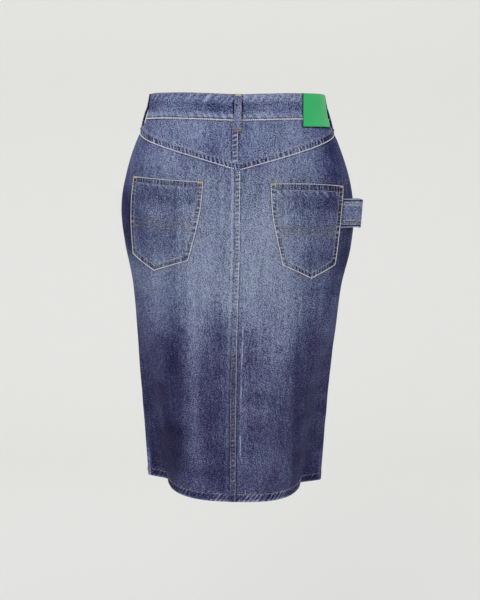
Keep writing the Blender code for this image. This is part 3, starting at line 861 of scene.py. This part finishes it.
def band_relief(turn, down):
    """Height and wear of the waistband: rolled edges, slanting puckers at the rows, the upper end's
    climb over the under end, a painted shade line above the lower row, and painted contact
    shadows beside the loops and the patch."""
    below = down - rim(turn)
    above = BAND_FOOT - below
    along = turn * BAND_TURN
    low = puckers(along + 0.7 * above, 0, 63, 0.0115)
    high = puckers(along - 0.75 * above, 0, 71, 0.0130)
    patchy = clouds(along / 0.035, 0, 64)
    near_low, near_high = fall(above, 0.0060, 0.0165), hump(below, 0.0015, 0.003, 0.006, 0.0200)
    height = BAND_OUT + LAP_LIFT * soft(-turn, *LAP_CLIMB) - 0.0003 * row_groove(below, BAND_ROWS)
    height = height - 0.0008 * fall(np.minimum(below, above), 0, 0.0012)
    height = height + 0.0008 * near_low * (low - 0.4) + 0.0006 * near_high * (high - 0.4)
    wear_and_shade = near_low * (0.14 + 0.30 * patchy + 0.75 * low * (0.4 + patchy))
    wear_and_shade = wear_and_shade + near_high * (0.10 * patchy + 1.05 * high * (0.25 + patchy))
    # A pale worn top edge, and painted shade in a line just above the lower row of stitches.
    wear_and_shade = wear_and_shade + 0.14 * fall(below, 0.0, 0.002) - 0.85 * hump(above, 0.0016, 0.0022, 0.0037, 0.0049)
    # Painted contact shadows beside the loops and the patch.
    return height, wear_and_shade - painted_contact_shadow(turn, down)


def waistband():
    """The whole band, from its upper end round to its under end. The wash left it darker at the
    centre back and along its middle."""
    turn = np.linspace(-2, 2 + UNDERLAP, 540)
    below = BAND_FOOT * eased(40)[:, None]
    down = rim(turn) + below
    height, wear_and_shade = band_relief(turn, down)
    shade = np.where(turn < 0, 0.15, 0.09) * fall(np.abs(turn + 0.20), 0.1, 0.6)
    shade = shade + 0.05 * hump(below, 0.006, 0.014, 0.026, 0.034)
    return cover(
        "waistband_cloth", turn, down, height, wear_and_shade, BAND_WALL,
        pale=wash_and_side_shade(turn, down) - shade, flat=(BAND_CUT - below, turn * BAND_TURN), node="waistband",
    )


waistband_cloth = waistband()

# -------------------------------- stitching
# Thick core-spun thread in lockstitch, about 3 mm a stitch, sewn before the wash: tobacco where
# the cloth kept its colour, and faded to ecru where it is rubbed. Bar tacks are orange.

STITCH, STITCH_GAP, THREAD = 0.0033, 0.0005, 0.00040
THICK, BOLD = 0.00052, 0.00104  # thread that the wash fluffed up, a little and most
# A stitch's rings: their place along it, their radius and how far they stand out of the cloth, as
# shares of the thread's radius.
RING_SHARE = np.array([0.0, 0.14, 0.5, 0.86, 1.0])
RING_RADIUS = np.array([0.35, 0.85, 1.0, 0.85, 0.35])
RING_OUT = np.array([-0.8, 0.2, 0.55, 0.2, -0.8])
RING_POINTS = 5
FLY_REACH, FLY_BEND = (0.036, 0.043), 0.145  # two rows beside the zip, and where they curve to it


def sewing_thread(name, worn, unworn):
    """Twisted sewing thread: matt, and paler where the wash reached it."""
    material = new_material(name)
    tree = material.node_tree
    colour = mix(tree, read_layer(tree, "wear_and_shade"), linear(unworn), linear(worn))
    return finish(material, {"Base Color": colour, "Roughness": 0.75, "Specular IOR Level": 0.2})


tobacco_thread = sewing_thread("tobacco_core_spun_thread", "#f4f0e6", "#82744c")
tack_thread = sewing_thread("orange_core_spun_thread", "#dcd5b4", "#a8703a")


def read_line(values, reach, at):
    """Values along a line, read at some distances."""
    return np.stack([np.interp(at, reach, column) for column in values.T], axis=-1)


def sewn_row(turn, down, relief, faded, radius=THREAD, pitch=STITCH, across=None, lift=0.0):
    """Stitches along a line on the cloth: their two ends, middles, normals, fading and radii.
    Fading is one number, or one for each end of the line. With across, each stitch is that long
    and lies across the line, as in a bar tack."""
    route = np.column_stack(np.broadcast_arrays(turn, down))
    route = read_line(route, np.linspace(0, 1, len(route)), np.linspace(0, 1, 60 * len(route)))
    line = on_cloth(*route.T)
    reach = distances(line)
    centre = np.arange(pitch / 2, reach[-1], pitch)
    half = 0 if across else (pitch - STITCH_GAP) / 2
    at = [read_line(route, reach, centre + step).T for step in (-half, 0, half)]
    first, middle, last = (on_cloth(t, d, relief(t, d)[0] + lift) for t, d in at)
    normal = look_up(NORMAL, *at[1])
    if across:
        ahead = read_line(np.gradient(line, axis=0), reach, centre)
        side = unit(np.cross(ahead, normal)) * across / 2
        first, last = middle - side, middle + side
    fade = np.interp(centre, (0, reach[-1]), np.broadcast_to(faded, 2))
    return first, middle, last, normal, fade, np.full(len(centre), radius)


def sew(name, rows, thread):
    """All stitches of some rows as one mesh. Each is some rings of points along an arc, and both
    of its ends dip into the cloth."""
    first, middle, last, normal, fade, radius = (np.concatenate(part) for part in zip(*rows))
    fade = np.clip(fade + 0.5 * (np.random.default_rng(len(fade)).random(len(fade)) - 0.5), 0, 1)
    side, radius = np.cross(unit(last - first), normal), radius[:, None, None]
    share = RING_SHARE[:, None]
    line = first[:, None] * (1 - share) + last[:, None] * share
    line = line + (middle - (first + last) / 2)[:, None] * 4 * share * (1 - share)
    line = line + normal[:, None] * RING_OUT[:, None] * radius
    angle = (np.arange(RING_POINTS) / RING_POINTS * math.tau)[:, None]
    ring = side[:, None, None] * np.cos(angle) + normal[:, None, None] * np.sin(angle)
    points = line[:, :, None] + ring * RING_RADIUS[:, None, None] * radius[..., None]
    size = len(RING_SHARE) * RING_POINTS
    number = np.arange(len(points) * size).reshape(-1, len(RING_SHARE), RING_POINTS)
    after = np.roll(number, -1, axis=2)
    walls = np.stack([number[:, :-1], after[:, :-1], after[:, 1:], number[:, 1:]], axis=-1)
    ends = np.concatenate([number[:, 0, ::-1], number[:, -1]])
    piece = new_piece(name, points, walls.reshape(-1, 4).tolist() + ends.tolist(), thread)
    set_layer(piece, "wear_and_shade", np.repeat(fade, size))
    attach(piece, "root")


def no_relief(turn, down):
    """The panels' own surface."""
    return 0 * turn, 0


back_turns = np.linspace(-1, 1, 41)
sew("yoke_stitches", [
    sewn_row(back_turns, yoke_seam(back_turns) - above, yoke_relief, faded, radius, lift=0.0002)
    for above, faded, radius in zip(YOKE_ROWS, (1.05, 0.20), (0.00074, THREAD))
], tobacco_thread)
centre_runs = (  # turn, depths, and how far the stitches stand out
    (0, np.linspace(YOKE_CENTRE + 0.001, LENGTH - 0.001, 40), 0.0002),
    (2, np.linspace(band_seam(2.0) + 0.001, LENGTH - 0.001, 40), 0.0002),
    (0, np.linspace(band_seam(0.0), YOKE_CENTRE - 0.011, 12), 0.0002 + YOKE_LIFT),
)
sew("centre_seam_stitches", [
    sewn_row(
        turn + fell_rows(downs)[row] / back_width(downs), downs, centre_relief, faded, radius,
        lift=lift,
    )
    for row, faded, radius in ((0, 0.15, THREAD), (1, (1.1, 0.15), THICK))
    for turn, downs, lift in centre_runs
], tobacco_thread)
bend = np.linspace(0, math.pi / 2, 12)
sew("fly_stitches", [
    sewn_row(
        -2 + np.array([reach, reach, *reach * np.cos(bend)]) / TURN_WIDTH,
        np.array([band_seam(2.0), FLY_BEND, *FLY_BEND + reach * np.sin(bend)]),
        no_relief, 0.35,
    )
    for reach in FLY_REACH
], tobacco_thread)
ring_turns = np.linspace(-2, 2, 81)
sew("waistband_stitches", [
    sewn_row(ring_turns, rim(ring_turns) + BAND_ROWS[0], band_relief, 0.3, lift=0.0001),
    sewn_row(ring_turns, rim(ring_turns) + BAND_ROWS[1], band_relief, 1.3, BOLD, lift=0.0003),
], tobacco_thread)
sew("hem_stitches", [
    sewn_row(ring_turns, LENGTH - HEM_ROW, hem_relief, 0.2, lift=0.0001)
], tobacco_thread)

# -------------------------------- patch pockets
# Five-sided pieces of the same denim with their edges turned under, sewn on by two rows, with a
# deep turned hem at the mouth and plain level rows across. They faded less than the cloth
# between them.

POCKET_COLUMNS = ("below", "inner", "outer")
POCKET_LEFT_EDGES = (
    (0.000, 0.0570, 0.1965),
    (0.045, 0.0610, 0.2005),
    (0.135, 0.0825, 0.2042),
)
POCKET_RIGHT_EDGES = (
    (0.000, 0.0528, 0.2005),
    (0.045, 0.0562, 0.1930),
    (0.135, 0.0758, 0.1836),
)
POCKET_DOWN, POCKET_SLOPE = 0.147, 0.020
FOOT_SLANT = 0.95  # the foot's own distance, as a share of the upright one
POCKET_ROWS = (0.0013, 0.0088)  # rows of stitches inside the sides and the foot
MOUTH_ROWS = (0.0013, 0.0112)  # and below the mouth
MOUTH_RISE, MOUTH_BOW = 0.0020, 0.0028  # the right mouth's inner corner and middle, pulled up
LEVEL_ROWS = (0.070, 0.0765, 0.083)  # plain rows across the pocket, below the mouth
TACK_DOWN, TACKS = 0.0022, ((0.010, 0.072), (0.928, 0.990))  # shares of the mouth
POCKET_FACE = 0.0019  # how far its stitches are off the panel
POCKET_SHIFT = (0.313, 0.171)  # a pocket is cut from elsewhere on the cloth than its panel
POCKETS = (  # name, side, edges, point (below the mouth, from the centre back), how pale it is
    # itself, and the share of the wash around it that it took
    ("pocket_left", -1, POCKET_LEFT_EDGES, (0.158, 0.1450), 0.51, 0.35),
    ("pocket_right", 1, POCKET_RIGHT_EDGES, (0.157, 0.1288), 0.34, 0.62),
)


def pocket_foot(edges, point, across):
    """How far the foot's two edges are below the mouth, at shares of the pocket's width."""
    below, inner, outer = edges[-1]
    place = inner + (outer - inner) * across
    return np.interp(place, (inner, point[1], outer), (below, point[0], below))


def pocket_place(side, edges, point, across, below):
    """The (turn, down) of a share of a pocket's width, so far below its mouth. Also the distances
    from its sides, from its foot and from its mouth."""
    foot = pocket_foot(edges, point, across)
    inner, outer = smooth_read(edges, 1, below), smooth_read(edges, 2, below)
    from_centre = side * (inner + (outer - inner) * across)
    down = POCKET_DOWN + below + POCKET_SLOPE * from_centre
    if side > 0:
        pulled = MOUTH_RISE * (1 - across) + MOUTH_BOW * 4 * across * (1 - across)
        down = down - pulled * fall(below, 0.0, 0.06)
    beside = (outer - inner) * np.minimum(across, 1 - across)
    return from_centre / back_width(down), down, beside, (foot - below) * FOOT_SLANT, below


def pocket_relief(turn, down, beside, above_foot, below):
    """Height and wear of a pocket: edges rolled under, puckers along them, a thick mouth with
    rubbed cloth under it, a shade below that, and painted shadow on the rim wall of its edges."""
    along, inset = turn * back_width(down), np.minimum(beside, above_foot)
    edge = np.minimum(inset, below)
    roll = fall(edge, 0, 0.0011)
    wave = puckers(np.where(beside < above_foot, below, along), 0, 77)
    mouth_wave = puckers(along, 0, 83, 0.0060)
    channel = hump(inset, 0.0014, 0.0026, 0.0074, 0.0088)
    mouth_channel = hump(below, 0.0016, 0.0028, 0.0098, 0.0112) * (1 - channel)
    groove = np.maximum(row_groove(inset, POCKET_ROWS), row_groove(below, MOUTH_ROWS))
    height = 0.0017 - 0.0010 * roll + 0.0007 * fall(below, 0.0123, 0.0138) - 0.0003 * groove
    height = height + 0.0006 * (channel * (wave - 0.5) + mouth_channel * (mouth_wave - 0.5))
    height = height + 0.0006 * (clouds(down / 0.02, turn * 14, 90) - 0.5) * soft(edge, 0.01, 0.02)
    inside = hump(inset, 0.0090, 0.0098, 0.0105, 0.0150) * soft(below, 0.016, 0.020)
    reach, shaded = np.where(turn > 0, 0.0240, 0.0175), np.where(turn > 0, 0.16, 0.24)
    under_mouth = hump(below, 0.0114, 0.0122, 0.0135, reach) * soft(beside, 0.006, 0.012)
    tug = puckers(along - 0.9 * below, 0, 37, 0.0120)
    wear_and_shade = channel * (-0.50 + 1.45 * wave) + mouth_channel * (-0.42 + 0.95 * mouth_wave)
    wear_and_shade = wear_and_shade + (0.25 + 0.55 * soft(below, 0.08, 0.13)) * inside * wave
    wear_and_shade = wear_and_shade - shaded * hump(below, 0.0115, 0.0150, 0.034, 0.050) * (1 - channel)
    wear_and_shade = wear_and_shade + 0.24 * roll + 0.80 * under_mouth * tug - 0.10 * groove
    # Painted shadow on the rim wall along the pocket's edges.
    return height, wear_and_shade - 0.9 * (edge < 0.0001)


def pocket_stitches(node, side, edges, point):
    """A pocket's rows of stitches and its corner tacks."""
    width, length = edges[-1][2] - edges[-1][1], edges[-1][0]
    peak = (point[1] - edges[-1][1]) / width

    def on_top(turn, down):
        return POCKET_FACE + 0 * turn, 0

    def row(start, end, faded, radius=THREAD, **how):
        line = np.linspace(start, end, 14).T
        return sewn_row(*pocket_place(side, edges, point, *line)[:2], on_top, faded, radius, **how)

    rows = []
    for inset, faded, radius in zip(POCKET_ROWS, (1.0, 0.35), (0.00078, THREAD)):
        u, v, low = inset / width, length - 1.05 * inset, point[0] - 1.05 * inset
        corners = (u, 0.001), (u, v), (peak, low), (1 - u, v), (1 - u, 0.001)
        rows += [row(start, end, faded, radius) for start, end in zip(corners, corners[1:])]
    for below, faded, radius in zip(MOUTH_ROWS, (0.9, 0.2), (0.00060, THREAD)):
        rows.append(row((0.008, below), (0.992, below), faded, radius, lift=0.0004))
    rows += [row((0.075, below), (0.925, below), 0.0, THICK) for below in LEVEL_ROWS]
    sew(node + "_stitches", rows, tobacco_thread)
    sew(node + "_tacks", [
        row((start, TACK_DOWN), (end, TACK_DOWN), 0.5, 0.0005, pitch=0.0009, across=0.004, lift=0.0006)
        for start, end in TACKS
    ], tack_thread)


def pocket(node, side, edges, point, pale, follow):
    """The pocket's cloth, close-stepped near its edges, and its stitches."""
    near = np.linspace(0, 0.085, 17)
    across, along = (
        np.concatenate([near, np.linspace(0.085, 0.915, steps)[1:-1], 1 - near[::-1]])
        for steps in (76, 88)
    )
    across = across[::side]
    below = pocket_foot(edges, point, across) * along[:, None]
    turn, down, *inside = pocket_place(side, edges, point, across, below)
    height, wear_and_shade = pocket_relief(turn, down, *inside)
    u, v = flat_place(turn, down)
    own = pale + follow * (wash_and_side_shade(turn, down) - pale)
    own = own + 0.14 * (clouds(u / 0.028 + 9, v / 0.034 + 60, 14) - 0.5)
    own = own - 0.04 * soft(np.minimum(*inside[:2]), 0.008, 0.035)
    flat = u + POCKET_SHIFT[0], v + POCKET_SHIFT[1]
    piece = cover(node + "_cloth", turn, down, height, wear_and_shade, CLOTH, pale=own, flat=flat, node=node)
    pocket_stitches(node, side, edges, point)
    return piece


pocket_left, pocket_right = (pocket(*row) for row in POCKETS)

# -------------------------------- belt loops
# Strips of denim folded to three layers, with a row of stitches near each edge, bar-tacked to the
# waistband's top and to the yoke or panel below it.

LOOP_CLEAR = 0.0003  # between a loop's inside and the waistband, where it is sewn down
LOOP_CUT, LOOP_TURN = 0.9, 0.2  # where it lies on the flat cloth, and metres of it in a turn
LOOP_THREAD, LOOP_ROWS = 0.00048, (-0.80, 0.80)  # rows at these shares of its half width
LOOP_TACKS = ((0.028, 1.1), (0.965, 0.1))  # share of the length, and fading


def belt_loop(node, turn, gap, wall, rise):
    """A strip sewn down at both ends that stands off between them. Its edges are rolled, and its
    side walls carry painted shade.
    """
    half = LOOP_WIDTH / 2 / back_width(WAISTBAND_HEIGHT / 2)

    def relief(t, d):
        share, beside = (d - rim(turn)) / LOOP_LENGTH, np.abs(t - turn) / half
        edge = soft(beside, 0.82, 1.0)
        wave = puckers(d, 0, 19, 0.0052)
        out = BAND_OUT + LOOP_CLEAR + LOOP_WALL + gap * soft(np.interp(share, *rise), 0, 1)
        middle = 0.36 * soft(share, 0.25, 0.5) - 0.04 + 0.16 * wave
        wear_and_shade = 0.34 * edge + fall(beside, 0.45, 0.66) * middle
        # Painted shade on the loop's side walls, less dark in its lower part.
        wear_and_shade = wear_and_shade - (1.0 - 0.4 * soft(share, 0.45, 0.6)) * (beside > 0.995)
        return out - 0.0006 * edge + 0.0002 * (wave - 0.5), wear_and_shade

    places = turn + half * np.array([-1, -0.985, *np.linspace(-0.95, 0.95, 19), 0.985, 1])
    down = rim(turn) + LOOP_LENGTH * np.linspace(0, 1, 74)[:, None]
    height, wear_and_shade = relief(places, down)
    piece = cover(
        node + "_cloth", places, down, height, wear_and_shade, wall, pale=wash_and_side_shade(places, down) - 0.06,
        flat=((places - turn) * LOOP_TURN + LOOP_CUT, -down), node=node,
    )
    sides = turn + half * np.array(LOOP_ROWS)
    downs = rim(turn) + LOOP_LENGTH * np.linspace(0.02, 0.98, 12)
    sew(node + "_stitches", [
        sewn_row(place, downs, relief, 0.30, LOOP_THREAD) for place in sides
    ], tobacco_thread)
    sew(node + "_tacks", [
        sewn_row(sides, rim(turn) + LOOP_LENGTH * at, relief, faded, 0.00045, 0.0008, 0.0028, 0.0003)
        for at, faded in LOOP_TACKS
    ], tack_thread)
    return piece


belt_loops = [belt_loop(*row) for row in LOOPS]

# -------------------------------- leather patch
# A rectangle of smooth cowhide, dyed bright green and lightly glazed, sewn over the waistband and
# the top of the right yoke. It is bare.


def glazed_leather():
    """Corrected grain: fine pores under a soft gloss, a slow change of colour, and dark edges."""
    material = new_material("glazed_green_cowhide")
    tree = material.node_tree
    place = object_place(tree)
    cloudy = noise(tree, place, 45.0, 3.0, "3D")
    face = mix(tree, cloudy, linear("#27b362"), linear("#35bc70"))
    pores = add_node(tree, "ShaderNodeTexVoronoi", {"Vector": place, "Scale": 1100.0})
    return finish(material, {
        "Base Color": mix(tree, read_layer(tree, "wear_and_shade"), face, linear("#1c5f46")),
        "Normal": bumped(tree, pores.outputs["Distance"], 0.25, 0.0002),
        "Roughness": 0.42,
        "Specular IOR Level": 0.30,
    })


def leather_patch():
    """The patch with its edge rounded and a dent where the seam under it lets it in."""
    share, across = eased(44)[:, None], eased(56)
    from_centre = PATCH_LEFT + PATCH_WIDTH * across
    turn = from_centre / back_width(PATCH_HEIGHT * share)
    down = rim(turn) + PATCH_HEIGHT * share
    edge = np.minimum(
        PATCH_HEIGHT * np.minimum(share, 1 - share), PATCH_WIDTH * np.minimum(across, 1 - across)
    )
    rounded = fall(edge, 0, 0.0010)
    dent = bell(from_centre - 0.16 * down, 0.168, 0.006) * soft(down, 0.0, 0.02)
    out = BAND_OUT + 0.0006 + PATCH_WALL - 0.0006 * rounded - 0.0008 * dent
    shell(
        "leather_patch_hide", on_cloth(turn, down, out), 0.5, 0.75 * rounded, (from_centre, -down),
        PATCH_WALL, [glazed_leather()], "leather_patch",
    )


leather_patch()

# -------------------------------- hammer loop
# A wide strap of folded denim, level between the right pocket's edge and the side seam, that bows
# out to hold a tool. Rows of stitches run along each edge.

STRAP_TOP, STRAP_HEIGHT, STRAP_WALL = 0.1765, 0.048, 0.0024
STRAP_CLEAR, STRAP_END = 0.0021, 0.975
STRAP_BULGE, STRAP_PULL, STRAP_LEAVE = (0.0323, 0.0140), 0.014, 0.003
STRAP_SAG = 0.0030  # how much lower its front half hangs
STRAP_ROWS = (0.0056, 0.0090)  # rows of stitches from each edge
STRAP_PALE, STRAP_FADE, STRAP_REACH = 0.50, 0.45, 0.1  # wash, its thread's fading, drawn length
STRAP_CUT = (1.3, 0.4)  # where it lies on the flat cloth


def bezier(start, leave, arrive, end, steps=46):
    """Points along a cubic curve."""
    t = np.linspace(0, 1, steps)[:, None]
    near = start * (1 - t) ** 3 + 3 * leave * t * (1 - t) ** 2
    return near + 3 * arrive * t * t * (1 - t) + end * t**3


def strap_line(down):
    """The strap's plan at a depth: out from the pocket's edge, round, and back to the seam."""
    pull = np.array([0, STRAP_PULL])
    beside = smooth_read(POCKET_RIGHT_EDGES, 2, down - POCKET_DOWN) + STRAP_CLEAR
    start, end = (
        (look_up(FORM, place, down) + look_up(NORMAL, place, down) * STRAP_CLEAR)[:2]
        for place in (beside / back_width(down), STRAP_END)
    )
    outer = start + STRAP_BULGE
    way_out = bezier(start, start + (STRAP_PULL, STRAP_LEAVE), outer - pull / 2, outer)
    way_back = bezier(outer, outer + pull, end + pull / 2 + (STRAP_PULL, 0), end)
    plan = np.concatenate([way_out, way_back[1:]])
    sag = STRAP_SAG * soft(np.arange(len(plan)) / len(plan), 0.35, 0.6)
    return np.column_stack([plan, -down - sag])


def hammer_loop():
    """The strap's cloth, off the plan's own normals."""
    share = eased(50)[:, None]
    base = np.array([strap_line(down) for down in STRAP_TOP + STRAP_HEIGHT * share[:, 0]])
    normal = unit(np.cross(np.gradient(base, axis=0), np.gradient(base, axis=1)))
    edge = STRAP_HEIGHT * np.minimum(share, 1 - share)
    along = np.linspace(0, STRAP_REACH, base.shape[1])[None, :]
    inner, outer = STRAP_ROWS
    wave = puckers(along, 0, 88, 0.0075)
    band = hump(edge, inner, inner + 0.0008, outer - 0.0008, outer + 0.0006)
    out = STRAP_WALL - 0.0008 * fall(edge, 0, 0.0014) + 0.0004 * band * (wave - 0.5)
    out = out - 0.0004 * row_groove(edge, STRAP_ROWS)
    # Painted shade: a dark line just inside each edge, and a second one inside the lower edge.
    shade = hump(edge, 0.0014, 0.0020, 0.0036, 0.0044)
    shade = shade + 0.6 * (share > 0.5) * hump(edge, 0.0072, 0.0080, 0.0098, 0.0106)
    wear_and_shade = 1.2 * fall(edge, 0.0008, 0.0017) + band * (0.10 + 0.20 * wave) - 0.80 * shade
    wear_and_shade = wear_and_shade + 0.5 * bell(edge, 0.0115, 0.0008) - 0.30 * fall(along, 0.0, 0.004)
    flat = STRAP_CUT[0] + along, STRAP_CUT[1] - STRAP_HEIGHT * share
    return shell(
        "hammer_loop_cloth", base + normal * out[..., None], STRAP_PALE, wear_and_shade, flat, STRAP_WALL,
        DENIM, "hammer_loop",
    )


def strap_row(inset):
    """A row of stitches along the strap, so far below its top edge."""
    line = strap_line(STRAP_TOP + inset)
    face = unit(np.cross((0, 0, -1), np.gradient(line, axis=0)))
    line = line + face * (STRAP_WALL - 0.0001)
    reach, half = distances(line), (STITCH - STITCH_GAP) / 2
    centre = np.arange(STITCH / 2, reach[-1] - STITCH / 2, STITCH)
    at = [read_line(line, reach, centre + step) for step in (-half, 0, half)]
    facing = read_line(face, reach, centre)
    return *at, facing, np.full(len(centre), STRAP_FADE), np.full(len(centre), THREAD)


hammer_strap = hammer_loop()
strap_insets = (*STRAP_ROWS, *(STRAP_HEIGHT - row for row in STRAP_ROWS))
sew("hammer_loop_stitches", [strap_row(inset) for inset in strap_insets], tobacco_thread)

# -------------------------------- front closure
# A metal zip on woven tape behind the joint of the fronts, and a tack button of antiqued brass
# through the waistband's upper end.


def woven_tape():
    """Polyester tape: a fine herringbone weave, drawn about twice as coarse as it is."""
    material = new_material("woven_zip_tape")
    tree = material.node_tree
    inputs = {"Vector": object_place(tree), "Scale": 320.0, "Distortion": 1.5}
    weave = add_node(tree, "ShaderNodeTexWave", inputs, bands_direction="DIAGONAL")
    colour = mix(tree, weave.outputs["Fac"], linear("#1b1c28"), linear("#343648"))
    return finish(material, {"Base Color": colour, "Roughness": 0.8})


def aged_brass():
    """Brass under a brown patina that stays in the low places and wears off the high ones."""
    material = new_material("antiqued_brass")
    tree = material.node_tree
    patina = noise(tree, object_place(tree), 600.0, 4.0, "3D")
    colour = ramp(tree, patina, ((0.35, "#4b3a28"), (0.65, "#a8895a")))
    return finish(material, {"Base Color": colour, "Metallic": 1.0, "Roughness": 0.38})


for node, material in (("fly_zip", woven_tape()), ("waist_button", aged_brass())):
    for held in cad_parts[node].material_slots:
        held.material = material

# -------------------------------- floor, light and camera
# A pale sweep behind and below the skirt, large soft lights from the front, and a long lens.

BACKDROP = "#e5e5e3"
SWEEP_HALF, SWEEP_FRONT, SWEEP_BEND, SWEEP_RADIUS, SWEEP_TOP = 7.0, -6.0, 2.0, 1.2, 6.0
FLOOR = -1.15


def sweep():
    """A floor that curves up into a wall, as one profile carried sideways."""
    bend = np.linspace(0, math.pi / 2, 16)
    curve_y, curve_z = SWEEP_RADIUS * np.sin(bend), SWEEP_RADIUS * (1 - np.cos(bend))
    y = np.array([SWEEP_FRONT, *SWEEP_BEND + curve_y, SWEEP_BEND + SWEEP_RADIUS])[:, None]
    z = np.array([0.0, *curve_z, SWEEP_TOP])[:, None] + FLOOR
    x = np.array([[-SWEEP_HALF, SWEEP_HALF]])
    number = np.arange(2 * len(y)).reshape(-1, 2)
    faces = np.stack([number[:-1, 0], number[:-1, 1], number[1:, 1], number[1:, 0]], axis=-1)
    paper = finish(new_material("matt_paper"), {"Base Color": linear(BACKDROP), "Roughness": 0.9})
    points = np.stack(np.broadcast_arrays(x, y, z), axis=-1)
    new_piece("sweep", points, faces.tolist(), paper)


def soft_box(name, place, size, watts, aim=(0, 0, -0.33)):
    """A square light that faces a point."""
    lamp = bpy.data.lights.new(name, "AREA")
    lamp.shape, lamp.size, lamp.energy = "SQUARE", size, watts
    box = bpy.data.objects.new(name, lamp)
    box.location = place
    box.rotation_euler = (Vector(aim) - Vector(place)).to_track_quat("-Z", "Y").to_euler()
    bpy.context.scene.collection.objects.link(box)


sweep()
soft_box("key", (-1.3, -3.2, 1.5), 2.2, 34)
soft_box("wall_left", (-2.2, 0.9, 1.2), 1.6, 9, aim=(-0.4, 3.2, 0.2))
soft_box("wall_right", (2.2, 0.9, 1.2), 1.6, 9, aim=(0.4, 3.2, 0.2))
soft_box("floor", (0, 1.0, 2.4), 2.4, 18, aim=(0, 0.7, FLOOR))
world = bpy.data.worlds.new("studio")
world.use_nodes = True
world.node_tree.nodes["Background"].inputs["Color"].default_value = (1, 1, 1, 1)
world.node_tree.nodes["Background"].inputs["Strength"].default_value = 0.72
bpy.context.scene.world = world
bpy.context.scene.view_settings.view_transform = "Standard"

CAMERA_AWAY, CAMERA_ASIDE = 2.6, 0.0058
LOOKS_DOWN, TILTED = math.radians(7.9), math.radians(0.42)
lens = bpy.data.cameras.new("camera")
lens.sensor_fit, lens.sensor_width, lens.sensor_height, lens.lens = "VERTICAL", 36.0, 36.0, 88.98
camera = bpy.data.objects.new("camera", lens)
turned = Matrix.Rotation(math.pi / 2 - LOOKS_DOWN, 4, "X") @ Matrix.Rotation(TILTED, 4, "Z")
camera.matrix_world = Matrix.Translation((CAMERA_ASIDE, -CAMERA_AWAY, 0)) @ turned
bpy.context.scene.collection.objects.link(camera)
bpy.context.scene.camera = camera
